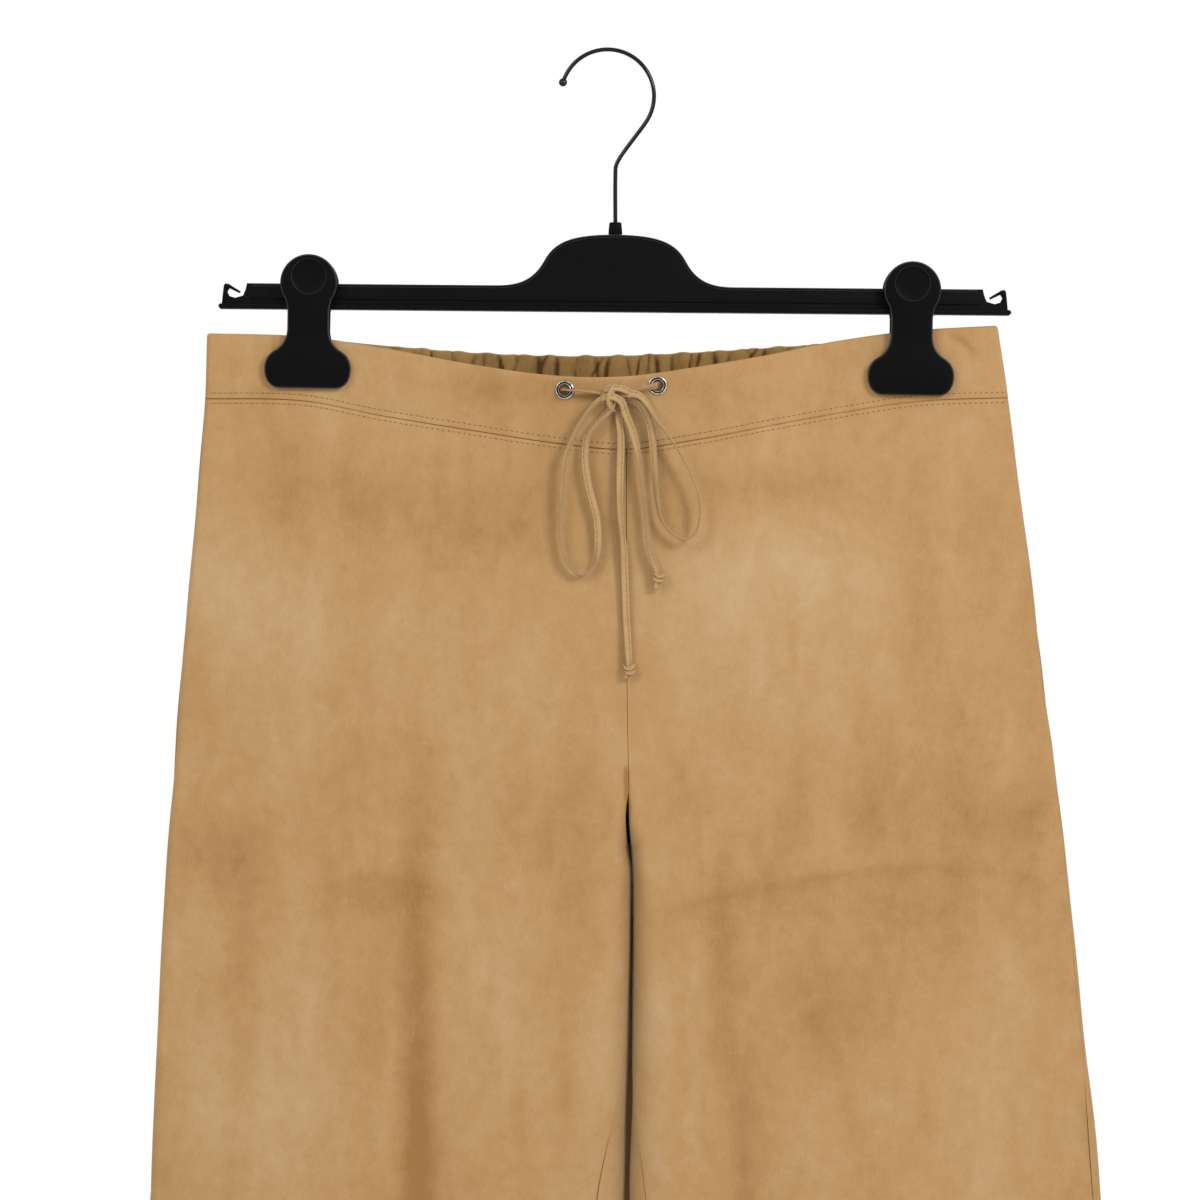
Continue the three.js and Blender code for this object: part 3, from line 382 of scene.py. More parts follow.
def lace_mesh(name, strands):
    """One mesh of one or more flat strands, each with its own map along and across."""
    points, faces, places = [], [], []
    for route, width, thick in strands:
        rings, middle = ribbon(route, width, thick)
        count = rings.shape[1]
        faces += [tuple(len(points) + k for k in face) for face in loft_faces(len(rings), count)]
        points += list(rings.reshape(-1, 3))
        places += [(k / count, run * MM * LACE_MAP) for run in run_along(middle) for k in range(count)]
    piece = solid(name, points, faces, 60)
    layer = piece.data.uv_layers.new(name="lace")
    for loop in piece.data.loops:
        layer.data[loop.index].uv = places[loop.vertex_index]
    return piece


def end_knot_strands(centre, tilt):
    """An overhand knot: the flat lace wound once round itself."""
    strands = []
    sine, cosine = math.sin(math.radians(tilt)), math.cos(math.radians(tilt))
    for radius, rise, start in ((2.1, 1.1, 0), (1.95, -1.3, 160)):
        angle = np.radians(start + 45 * np.arange(9))
        side = radius * np.cos(angle)
        level = rise + 0.9 * np.sin(angle) + 0.3 * np.cos(2 * angle)
        ring = np.stack([side * cosine - level * sine, radius * np.sin(angle) * 0.8,
                         side * sine + level * cosine, np.full(9, 8)], axis=1)
        strands.append((ring + (*centre, 0), 2.5, 1.0))
    return strands


place_camera()

# The cords come first: each half of the lace is one length from its eyelet, through the bow, to its tail
HALVES = {
    "long": (FROM_LEFT_EYELET + RIGHT_LOOP + LONG_TAIL, 0.36, ("run_left", "loop_right", "tail_long")),
    "short": (FROM_RIGHT_EYELET + LEFT_LOOP + SHORT_TAIL, 0.33, ("run_right", "loop_left", "tail_short")),
}
laces = {}
for word, (route, _, _) in HALVES.items():
    laces[word] = lace_mesh(f"lace_{word}_half", [(route, LACE_WIDTH, LACE_THICK)])
knot = [(strand, LACE_WIDTH - 0.4, LACE_THICK + 0.3) for strand in KNOT_STRANDS]
laces["bow"] = lace_mesh("lace_bow_knot", knot)
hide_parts("lace_knot")
for word, (centre, tilt) in END_KNOTS.items():
    laces[f"end_{word}"] = lace_mesh(f"lace_end_knot_{word}", end_knot_strands(centre, tilt))
    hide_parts(f"lace_end_{word}")
for word, (route, length, parts) in HALVES.items():
    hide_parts(*(f"lace_{part}" for part in parts))


def ease(start, end, at):
    t = np.clip((np.asarray(at, float) - start) / (end - start), 0, 1)
    return t * t * (3 - 2 * t)


def bell(away, wide):
    return np.exp(-((away / wide) ** 2))


def read(table, column, at):
    """A table's column at a place along its first column, on a smooth curve through its rows."""
    keys, values = table[:, 0], table[:, column]
    if keys[-1] < keys[0]:
        keys, values = keys[::-1], values[::-1]
    last = len(keys) - 1
    ids = np.arange(last + 1)
    before, after = np.maximum(ids - 1, 0), np.minimum(ids + 1, last)
    slope = (values[after] - values[before]) / (keys[after] - keys[before])
    i = np.clip(np.searchsorted(keys, at, side="right") - 1, 0, last - 1)
    span = keys[i + 1] - keys[i]
    t = np.clip((at - keys[i]) / span, 0, 1)
    return hermite(t, span, values[i], slope[i], values[i + 1], slope[i + 1])


def outline(column, z):
    return read(OUTLINE, COLUMNS.index(column), z)


def band_top(face, x):
    return read(WAIST, 1 if face == FRONT else 3, x)


def band_seam(face, x):
    return read(WAIST, 2, x) if face == FRONT else band_top(BACK, x) - BACK_BAND_HEIGHT


def edges(side, z):
    outer = outline(SIDE[side], z)
    inner = outline("centre", z) + side * outline("gap", z) / 2
    return outer, inner, np.abs(inner - outer)


def rounding(share):
    """How far a rounded edge has come in at a share of its quarter turn."""
    return 1 - np.cos(np.pi / 2 * share)


def share_of(rounded):
    return np.arccos(np.clip(1 - rounded, 0, 1)) * 2 / np.pi


def spread(u, z, width):
    """How far across the leg a column lies: columns crowd at the folded and the inner edge."""
    edge, inner = outline("edge", z) / width, outline("inner", z) / width
    at_fold = edge * rounding(u / EDGE_SHARE)
    flat = edge + (1 - edge - inner) * (u - EDGE_SHARE) / (INNER_START - EDGE_SHARE)
    at_inner = 1 - inner * rounding((1 - u) / (1 - INNER_START))
    return np.where(u < EDGE_SHARE, at_fold, np.where(u < INNER_START, flat, at_inner))


def step_in(distance, z):
    return (1 - INNER_START) * share_of(distance / outline("inner", z))


def step_out(distance, z, width):
    edge = outline("edge", z)
    flat = width - edge - outline("inner", z)
    near = EDGE_SHARE * share_of(np.maximum(distance, 0) / edge)
    far = EDGE_SHARE + (INNER_START - EDGE_SHARE) * (distance - edge) / flat
    return np.where(distance <= edge, near, far)


def gather(x, power):
    """A gather's height between its two creases."""
    height = np.zeros_like(x, float)
    for (start, full), (end, _) in zip(GATHERS, GATHERS[1:]):
        t = np.clip((x - start) / (end - start), 0, 1)
        height = np.where((x >= start) & (x < end), full * np.sin(np.pi * t) ** power, height)
    return height


def troughs(side, face, x, z):
    deep = BREAK_DEPTH * bell(z - BREAK_LEVEL, BREAK_HEIGHT)
    for leg, on, middle, top, bottom, wide, depth in TROUGHS:
        if leg == side:
            fade = (top - bottom) * 0.3
            along = ease(top, top - fade, z) * ease(bottom, bottom + fade, z)
            deep = deep + np.where(face == on, depth * along * bell(x - middle, wide), 0)
    return deep


def gathered_height(side, across, z, x):
    """The gathers that the back panels carry on below the elastic."""
    fade = ease(GATHER_FADE_END, band_seam(BACK, x), z)
    outer, inner, _ = edges(side, np.float64(GATHER_LEVEL))
    return GATHER_HEIGHT * fade * gather(outer + (inner - outer) * across, 2)


def skin(side, face, u, z, gathered=True):
    """A point of the cloth's outer face, as x, y and z arrays."""
    u, z = np.broadcast_arrays(np.asarray(u, float), np.asarray(z, float))
    face = np.where((u < 0) | (u > 1), -face, face)
    u = np.where(u < 0, -u, np.where(u > 1, 2 - u, u))
    outer, inner, width = edges(side, z)
    across = spread(u, z, width)
    from_inner = (1 - across) * width
    x = outer + (inner - outer) * across
    edge = outline("edge", z)
    fold = edge * np.sqrt(np.maximum(1 - (1 - np.minimum(across * width / edge, 1)) ** 2, 0))
    bow = np.cos(np.pi / 2 * np.clip(x / BOW_HALF_WIDTH, -1, 1)) ** 2
    lens = np.sin(np.pi / 2 * np.minimum(across / outline("peak", z), 1))
    shape = bow + (lens - bow) * ease(CLIPPED_END, HIP, z)
    in_front = face == FRONT
    deep = fold + np.where(in_front, outline("front", z), outline("back", z)) * shape
    deep = deep - troughs(side, face, x, z) * shape * ease(0, 0.1, across)
    if gathered:
        deep = deep + np.where(in_front | (z <= GATHER_FADE_END), 0, gathered_height(side, across, z, x))

    # The front and the back close on each other down the rise
    top = np.where(in_front, RISE_TOP_FRONT, RISE_TOP_BACK)
    sunk = 1 - np.sqrt(1 - np.clip((top - z) / (top - CROTCH), 0, 1) ** 2)
    power = 1 - np.where(in_front, RISE_SHARPNESS[side], RISE_SHARPNESS["back"]) * ease(0, 0.25, sunk)
    inward = np.minimum(from_inner / outline("inner", z), 1)
    deep = deep * (1 - sunk * (1 - (inward * (2 - inward)) ** power))

    # Below the crotch each back panel laps past the middle, and the left one parts at the slit
    start, full = LAP_LEVELS
    lap = ease(start, full, z) * np.minimum(outline("gap", z) + 4, MOST_LAP) * ease(*LAP_FADE, z)
    lap = lap + SEAM_LAP * ease(full, start, z)
    x = x + np.where(in_front, 0, lap * ease(0, 6, deep) * ease(46, 6, from_inner))
    if side == LEFT:
        parted = np.sin(np.pi * np.clip((SLIT_TOP - z) / (SLIT_TOP - SLIT_END), 0, 1) ** 0.8)
        x = x - np.where(in_front, SLIT_WIDE * parted * ease(16, 1, from_inner), 0)
    return np.stack([x, face * deep, z], axis=-1)


def outward(side, face, u, z, gathered=True):
    ahead = np.where(np.asarray(z) > CROTCH, np.minimum(u + COLUMN_STEP, 1), u + COLUMN_STEP)
    t = unit(skin(side, face, ahead, z, gathered) - skin(side, face, u - COLUMN_STEP, z, gathered))
    out = np.stack([t[..., 1], -t[..., 0], np.zeros_like(t[..., 0])], axis=-1) * side * face
    return t, out


def line_distance(x, z, points):
    """Distance to a line of points, and how far from its two ends, 0 at an end and 1 at its middle."""
    best = np.full(x.shape, 1e9)
    share = np.zeros(x.shape)
    steps = np.hypot(*np.diff(np.array(points, float), axis=0).T)
    total, run = steps.sum(), 0.0
    for (ax, az), (bx, bz), length in zip(points, points[1:], steps):
        t = np.clip(((x - ax) * (bx - ax) + (z - az) * (bz - az)) / length**2, 0, 1)
        away = np.hypot(x - ax - t * (bx - ax), z - az - t * (bz - az))
        share = np.where(away < best, (run + t * length) / total, share)
        best = np.minimum(best, away)
        run += length
    return best, np.sin(np.pi * share)


def relief(side, face, x, z, seam):
    """How far the cloth stands out of its plain form: creases, ripples and the hem's turn."""
    high = np.zeros(x.shape)
    for kx, kz, phase, size in RIPPLES:
        high = high + size * np.sin(kx * x + kz * z + phase + RIPPLE_SHIFT[face])
    high = high * ease(seam, seam - 40, z)
    for *line, wide, depth in CREASES[side, face]:
        away, share = line_distance(x, z, np.reshape(line, (3, 2)))
        high = high - depth * share * bell(away, wide)
    pucker = np.sin(0.61 * x + 1.3) * np.sin(0.23 * x + 0.5) + 0.5 * np.sin(1.13 * x)
    high = high + 0.16 * pucker * np.exp(-np.maximum(seam - z, 0) / 14) - 0.2 * bell(seam - z, 0.8)
    return high + 0.35 * (1 - ease(HEM_TURN - 1.5, HEM_TURN + 1.5, z - HEM))


def dressed(side, face, u, z):
    """A point of a leg's outer face with its relief, and the way out of the cloth there."""
    base = skin(side, face, u, z)
    t, out = outward(side, face, u, z)
    x = base[..., 0]
    return base + out * relief(side, face, x, z, band_seam(face, x))[..., None], t, out


def columns(flat, inner):
    """Columns across a leg, with so many on its flat and its inner part."""
    return np.concatenate([np.linspace(0, EDGE_SHARE, 9), np.linspace(EDGE_SHARE, INNER_START, flat)[1:],
                           np.linspace(INNER_START, 1, inner)[1:]])


def panel_grid(side, face):
    """The outer and the inner faces of a leg panel as rows of points."""
    levels = np.concatenate([TOP_LEVEL - np.array([0, 0.35, 0.8, 1.5]), np.linspace(TOP_LEVEL - 3, -620, 172),
                             np.linspace(-620, HEM, 118)[1:]])[:, None]
    across = columns(82, 25)
    seam = band_seam(face, skin(side, face, across, PANEL_LEVEL)[..., 0]) - SEAM_GAP / 2
    z = levels + (seam - TOP_LEVEL) * (1 - ease(TOP_LEVEL, SEAM_FOLLOWED_TO, levels))
    _, _, width = edges(side, z)
    inseam = step_in(np.maximum(outline(f"inseam_{SIDE[side]}", z), 0), z) * (z <= CROTCH)
    outseam = 0 * z if side == LEFT else step_out(outline("outseam_right", z), z, width)
    start, end = -face * outseam, 1 + face * inseam
    outer, t, out = dressed(side, face, start + (end - start) * across, z)
    outer[:, 0] += t[:, 0] * SEAM_GAP / 2
    outer[:, -1] -= np.where((z[:, -1] <= CROTCH)[:, None], t[:, -1] * SEAM_GAP / 2, 0)
    return outer, outer - out * SUEDE


def shell(name, outer, inner, tone_at):
    """A closed shell between two grids of points, with the inner face's faces in material slot 1."""
    points = np.concatenate([outer.reshape(-1, 3), inner.reshape(-1, 3)])
    half = len(points) // 2
    ids = np.arange(half).reshape(outer.shape[:2])
    quads = np.stack([ids[:-1, :-1], ids[:-1, 1:], ids[1:, 1:], ids[1:, :-1]], axis=-1).reshape(-1, 4)
    border = np.concatenate([ids[0], ids[1:, -1], ids[-1, -2::-1], ids[-2:0:-1, 0]])
    after = np.roll(border, -1)
    rim = np.stack([after, border, border + half, after + half], axis=1)
    piece = solid(name, points, np.concatenate([quads, quads[:, ::-1] + half, rim]).tolist())
    slots = np.repeat([0, 1, 0], [len(quads), len(quads), len(rim)])
    piece.data.polygons.foreach_set("material_index", slots.astype(np.int32))
    tone = piece.data.attributes.new("tone", "FLOAT", "POINT")
    tone.data.foreach_set("value", tone_at(points).astype(np.float32))
    return piece


def nap_shade_and_light_tone(points):
    """How much darker than plain each point is painted, for nap tone, painted shade and painted light. The
    back has the front's patches, shifted.
    """
    x, y, z = points.T
    front = y < 0
    tone = np.zeros(len(points))
    for px, pz, wide, high, strength in NAP_SHADE_AND_LIGHT_PATCHES:
        away, level = x - np.where(front, px, NAP_MIRROR - px), z - np.where(front, pz, pz - NAP_LOWER)
        tone += strength * bell(away, wide) * bell(level, high)
    # Painted shade along these lines, on the front only.
    for line, wide, strength in PAINTED_SHADE_LINES:
        away, share = line_distance(x, z, line)
        tone += front * strength * share**0.4 * bell(away, wide)
    # Darker along the waist seams: the seam's own dark line and painted shade in its groove.
    seam = np.where(front, band_seam(FRONT, x), band_seam(BACK, x))
    return tone + 1.4 * bell(z - seam, 0.3)


def elastic_crease_shade(points):
    """Painted shade in each crease of the gathered casing, over a faint wavering tone. The creases lean, and
    some part in two at the top.
    """
    x, z = points[:, 0], points[:, 2]
    drop = band_top(BACK, x) - z
    reach = 12 * (1 - np.exp(-drop / 12))
    tone = 0.12 * np.sin(0.19 * x + 0.6) * np.sin(0.07 * x)
    for k, (place, full) in enumerate(GATHERS):
        lean = 0.32 * math.sin(2.7 * k + 0.4)
        wide = 0.85 + 0.4 * math.sin(1.9 * k)
        deep = full + 0.35 + 0.35 * math.sin(4.1 * k)
        tone += deep * bell(x - place - lean * reach, wide) * (0.45 + 0.55 * ease(0.4, 5, drop))
        if k % 3 == 1:
            tone += 0.7 * deep * bell(x - place - 4.6 + (lean + 0.36) * drop, 0.9) * ease(14, 9, drop)
    return tone


def band_relief(face, x, z):
    """The casing's own small unevenness: soft ripples, a join at the left and a pucker at the right."""
    high = 0.08 * np.sin(0.31 * x + z * 0.1)
    if face == FRONT:
        join = bell(x + 174.4, 1.0) * ease(-178, -160, z)
        away, share = line_distance(x, z, ((176, -148), (184, -151), (190, -157)))
        high = high - 0.4 * join - 0.9 * share * bell(away, 2.2)
        for ex, ez in EYELETS.values():
            high = high - 0.4 * bell(np.hypot(x - ex, z - ez), 6)
    return high


def band_swell(x, level):
    return 0.12 * np.sin(0.09 * x + 0.7) * np.sin(np.pi * level)


def band_grid(face):
    """The outer and inner faces of a waistband, a casing with a rounded top edge."""
    down = np.concatenate([np.linspace(0, 0.94, 14) ** 1.5, [0.955, 0.976, 0.99, 1]])[:, None]
    u = columns(170, 12) + 0 * down
    halves = []
    for side in (LEFT, RIGHT):
        x = skin(side, face, u, BAND_LEVEL, gathered=False)[..., 0]
        lobe = gather(x, 0.7) if face == BACK else 0 * x
        top = band_top(face, x) + lobe * (0.45 + 0.4 * np.sin(0.37 * x))
        seam = band_seam(face, x) + SEAM_GAP / 2
        z = top + (seam - top) * down
        point = skin(side, face, u, z, gathered=False)
        _, out = outward(side, face, u, CLIPPED_END, gathered=False)
        if face == BACK:
            out = np.where((u > EDGE_SHARE)[..., None], (0.0, 1.0, 0.0), out)
        point[:, 0, 1] += face * SEAM_GAP / 2
        round_off = np.sqrt(np.clip(1 - (1 - np.minimum((top - z) / 1.4, 1)) ** 2, 0, 1)) * 0.94 + 0.06
        half = (CASING / 2 + GATHER_HEIGHT * lobe) * round_off
        high = band_swell(x, (z - seam) / (top - seam)) + band_relief(face, x, z) - 0.15 * bell(z - seam, 0.9)
        centre = point - out * CASING / 2
        sides = centre + out * (half + high)[..., None], centre - out * half[..., None]
        halves.append([grid[:, -2::-1] if side == RIGHT else grid for grid in sides])
    return [np.concatenate(pair, axis=1) for pair in zip(*halves)]


cloth = {}
for side, word in SIDE.items():
    for face, place in FACE.items():
        name = f"{place}_leg_{word}"
        cloth[name] = shell(f"suede_{name}", *panel_grid(side, face), nap_shade_and_light_tone)
        strips = (f"{name}_{strip}_{part}" for strip in STRIPS[face] for part in ("top", "leg"))
        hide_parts(*strips)
for face, tone_at in ((FRONT, nap_shade_and_light_tone), (BACK, elastic_crease_shade)):
    name = f"waistband_{FACE[face]}"
    cloth[name] = shell(f"suede_{name}", *band_grid(face), tone_at)
    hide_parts(name)


def solve_across(side, face, x, z):
    """The column at which a face of the cloth lies at x."""
    low, high = np.zeros(x.shape), np.ones(x.shape)
    for _ in range(HALVINGS):
        u = (low + high) / 2
        short = (skin(side, face, u, z, gathered=False)[..., 0] - x) * side > 0
        low, high = np.where(short, u, low), np.where(short, high, u)
    return (low + high) / 2


def on_front(x, z, proud=0.0, band=False):
    """Points on the legs' fronts or on the front waistband, with the way out of the cloth."""
    points, outs = np.zeros(x.shape + (3,)), np.zeros(x.shape + (3,))
    for side in (LEFT, RIGHT):
        mine = (x - outline("centre", z)) * side > 0
        across, level = x[mine], z[mine]
        u = solve_across(side, FRONT, across, level)
        if band:
            top, seam = band_top(FRONT, across), band_seam(FRONT, across) + SEAM_GAP / 2
            high = band_swell(across, (level - seam) / (top - seam)) + band_relief(FRONT, across, level)
            _, out = outward(side, FRONT, u, CLIPPED_END, gathered=False)
            point = skin(side, FRONT, u, level, gathered=False) + out * high[..., None]
        else:
            point, _, out = dressed(side, FRONT, u, level)
        points[mine], outs[mine] = point + out * proud, out
    return points, outs


def socket_of(sockets, key):
    return next(s for k, s in enumerate(sockets) if key in (k, s.identifier, s.name))


def feed(tree, socket, value):
    """Link a socket to another node's, or set it to a value."""
    value = getattr(value, "socket", value)
    if isinstance(value, bpy.types.NodeSocket):
        tree.links.new(value, socket)
    else:
        socket.default_value = value


def add_node(tree, kind, settings, sockets):
    node = tree.nodes.new(kind)
    for key, value in settings.items():
        setattr(node, key, value)
    for key, value in sockets.items():
        feed(tree, socket_of(node.inputs, key), value)
    return node


def operator(operation, swapped=False):
    """A method that puts a socket through one maths node, with another socket or a number."""
    def method(self, other=0.0):
        first, second = (other, self) if swapped else (self, other)
        return self.finish.add("ShaderNodeMath", {"operation": operation}, {0: first, 1: second})
    return method


class Value:
    """A socket that takes part in sums, so that a finish's arithmetic reads as arithmetic."""

    def __init__(self, finish, socket):
        self.finish = finish
        self.socket = socket

    __add__, __radd__ = operator("ADD"), operator("ADD", True)
    __sub__, __rsub__ = operator("SUBTRACT"), operator("SUBTRACT", True)
    __mul__, __rmul__ = operator("MULTIPLY"), operator("MULTIPLY", True)
    __truediv__, __rtruediv__ = operator("DIVIDE"), operator("DIVIDE", True)
    fraction, size = operator("FRACT"), operator("ABSOLUTE")

    def held(self):
        return self.finish.add("ShaderNodeClamp", {}, {"Value": self, "Min": 0.0, "Max": 1.0})


class Finish:
    """A material under construction."""

    def __init__(self, name, **fixed):
        self.material = bpy.data.materials.new(name)
        self.material.use_nodes = True
        self.tree = self.material.node_tree
        self.shader = next(n for n in self.tree.nodes if n.type == "BSDF_PRINCIPLED")
        for key, value in fixed.items():
            self.wear(key.replace("_", " "), value)

    def add(self, kind, settings, sockets, output=0):
        node = add_node(self.tree, kind, settings, sockets)
        return Value(self, socket_of(node.outputs, output))

    def wear(self, key, value):
        feed(self.tree, self.shader.inputs[key], value)

    def noise(self, scale, detail=2.0, rough=0.5, stretch=None, warp=0.0):
        at = self.add("ShaderNodeTexCoord", {}, {}, "Object")
        if stretch:
            at = self.add("ShaderNodeMapping", {}, {"Vector": at, "Scale": stretch})
        sockets = {"Vector": at, "Scale": scale, "Detail": detail, "Roughness": rough, "Distortion": warp}
        return self.add("ShaderNodeTexNoise", {}, sockets, "Fac")

    def mix(self, factor, first, second):
        return self.add("ShaderNodeMix", {"data_type": "RGBA"},
                        {"Factor_Float": factor, "A_Color": first, "B_Color": second}, "Result_Color")

    def done(self, base, rough, height=None, strength=0.0, distance=0.0):
        """The material, given its varying colour and roughness and its fine relief."""
        self.wear("Base Color", base)
        self.wear("Roughness", rough)
        if height:
            sockets = {"Height": height, "Strength": strength, "Distance": distance}
            self.wear("Normal", self.add("ShaderNodeBump", {}, sockets))
        return self.material


def colour(*shades):
    """A shader colour from the 0 to 255 shades that the eye reads."""
    shades = np.array(shades) / 255
    line = np.where(shades <= 0.04045, shades / 12.92, ((shades + 0.055) / 1.055) ** 2.4)
    return (*line.tolist(), 1.0)


def suede_finish(name, dark, plain, pale):
    """Suede: clouds where the nap lies over, the tone attribute's nap tone, painted shade and painted light,
    fine fibres and small scuffs.
    """
    finish = Finish(name, Sheen_Weight=0.22, Sheen_Roughness=0.45, Specular_IOR_Level=0.18,
                    Sheen_Tint=(0.95, 0.8, 0.58, 1))
    broad = finish.noise(15, 3, 0.5, (1.0, 1.0, 0.3), 0.4)
    cloud = finish.noise(46, 4, 0.6, (1.0, 1.0, 0.4), 0.5)
    mottle = finish.noise(120, 3, 0.6)
    fibre = finish.noise(900, 2, 0.6, (1.0, 1.0, 0.45))
    grain = finish.noise(2600, 1, 0.5)
    # The tone attribute holds the cloth's nap tone, painted shade and painted light.
    tone = finish.add("ShaderNodeAttribute", {"attribute_name": "tone"}, {}, "Fac")
    depth = (0.5 + (broad - 0.5) * 0.5 + (cloud - 0.5) * 0.6 + (mottle - 0.5) * 0.4
             + (fibre - 0.5) * 0.3 + tone * 0.5).held()
    low = finish.mix((depth * 2).held(), pale, plain)
    body = finish.mix((depth * 2 - 1).held(), low, dark)
    scuff = finish.noise(260, 2, 0.7, (0.35, 1.0, 1.3))
    body = finish.mix((scuff - 0.66).held() * 1.6, body, pale)
    return finish.done(body, 0.86 + fibre * 0.14, fibre * 0.6 + grain * 0.25 + mottle * 0.8, 0.3, 0.0004)


def lace_finish(name):
    """The lace: a folded strip with a row of small stitch holes along one side."""
    finish = Finish(name, Specular_IOR_Level=0.2, Sheen_Weight=0.15)
    spot = finish.add("ShaderNodeUVMap", {"uv_map": "lace"}, {})
    along, across = (finish.add("ShaderNodeSeparateXYZ", {}, {0: spot}, axis) for axis in "YX")
    fibre = finish.noise(1100, 2, 0.6)
    cloud = finish.noise(90, 2, 0.5)
    # The line along the stitch row lies in the lace's groove and is painted shade; the stitch holes are
    # painted shade too, and both edges are painted darker.
    beat = ((along / 0.03).fraction() - 0.5).size()
    folded = 0.472 - (across - 0.472).size()
    row = ((folded - 0.29).size() * -20 + 1).held()
    hole = (row * (1 - beat * 5)).held()
    edge = (((folded - 0.222).size() - 0.155) * 16).held()
    shade = (0.45 + (cloud - 0.5) * 1.2 + (fibre - 0.5) * 0.5).held()
    body = finish.mix(shade, colour(164, 134, 94), colour(147, 115, 73))
    lines = (hole * 0.55 + row * 0.4 + edge * 0.45).held()
    body = finish.mix(lines, body, colour(96, 68, 36))
    return finish.done(body, 0.8 + fibre * 0.16, fibre * 0.5 - hole - row * 0.6, 0.4, 0.0003)


def plastic_finish(name, deep, lighter, shine):
    """Black moulded plastic with a fine spark-eroded skin and a little dust."""
    finish = Finish(name, Specular_IOR_Level=shine)
    haze = finish.noise(45, 3, 0.6)
    dust = (finish.noise(700, 2, 0.7) - 0.7).held() * 1.6
    body = finish.mix((haze * 0.7).held(), deep, lighter)
    body = finish.mix(dust, body, colour(58, 57, 56))
    return finish.done(body, 0.4 + haze * 0.18 + dust * 0.3, finish.noise(1500, 2, 0.6), 0.12, 0.0002)


def metal_finish(name, bright, dull, rough, scale=300):
    """Drawn or turned metal: slightly uneven polish with darker places where it has tarnished."""
    finish = Finish(name, Metallic=1.0)
    cloud = finish.noise(scale, 3, 0.6)
    lines = finish.noise(scale * 4, 2, 0.5, (1.0, 1.0, 0.15))
    body = finish.mix((cloud * 1.8 - 0.5).held(), bright, dull)
    return finish.done(body, rough + (cloud - 0.4) * 0.2 + lines * 0.05, lines, 0.05, 0.0002)


def plain_finish(name, shade, rough):
    finish = Finish(name, Specular_IOR_Level=0.2)
    fibre = finish.noise(1400, 2, 0.6)
    darker = tuple(c * 0.88 for c in shade[:3]) + (1.0,)
    return finish.done(finish.mix(fibre, shade, darker), rough + fibre * 0.1)


suede = suede_finish("suede_nap", colour(133, 97, 55), colour(155, 121, 79), colour(167, 140, 106))
# The inside faces take the suede painted darker: painted shade for the shaded inside of the cloth.
inside_painted_shade = suede_finish("suede_inside_painted_shade", colour(68, 44, 14), colour(129, 99, 56), colour(147, 116, 71))
lace_suede = lace_finish("suede_lace")
plastic = plastic_finish("black_moulded_plastic", colour(4, 4, 4), colour(9, 9, 10), 0.05)
# A painted highlight for the rounded front edges and the dishes' brinks.
edge_highlight_plastic = plastic_finish("plastic_edge_painted_highlight", colour(24, 24, 26), colour(40, 40, 43), 0.2)
gunmetal = metal_finish("dark_wire", colour(48, 48, 50), colour(26, 26, 28), 0.12, 60)
nickel = metal_finish("eyelet_nickel", colour(206, 203, 200), colour(84, 78, 74), 0.16, 520)
groove_metal = metal_finish("eyelet_groove", colour(40, 36, 34), colour(22, 20, 19), 0.4)
steel = metal_finish("spring_steel", colour(170, 170, 174), colour(120, 120, 126), 0.28)
thread = plain_finish("tonal_thread", colour(147, 115, 75), 0.6)
# Painted shade for the insides of holes: the needle holes and the eyelets' holes.
painted_hole_shade = plain_finish("painted_hole_shade", colour(100, 71, 41), 0.9)


def dress(piece, slot, *finishes):
    """Give a piece its finishes; its slot is not used. Every piece rides on the one body."""
    for finish in finishes:
        piece.data.materials.append(finish)
    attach(piece, "root")


for piece in cloth.values():
    dress(piece, "suede", suede, inside_painted_shade)
for piece in laces.values():
    dress(piece, "lace", lace_suede)


def oval_mesh(name, length, width, height, turns=8):
    """A low smooth oval bead along X, the shape of one pulled stitch or of its hole."""
    work = bmesh.new()
    bmesh.ops.create_uvsphere(work, u_segments=turns, v_segments=4, radius=0.5)
    bmesh.ops.scale(work, vec=(length * MM, width * MM, height * MM), verts=work.verts)
    return made_of(name, work, 180)


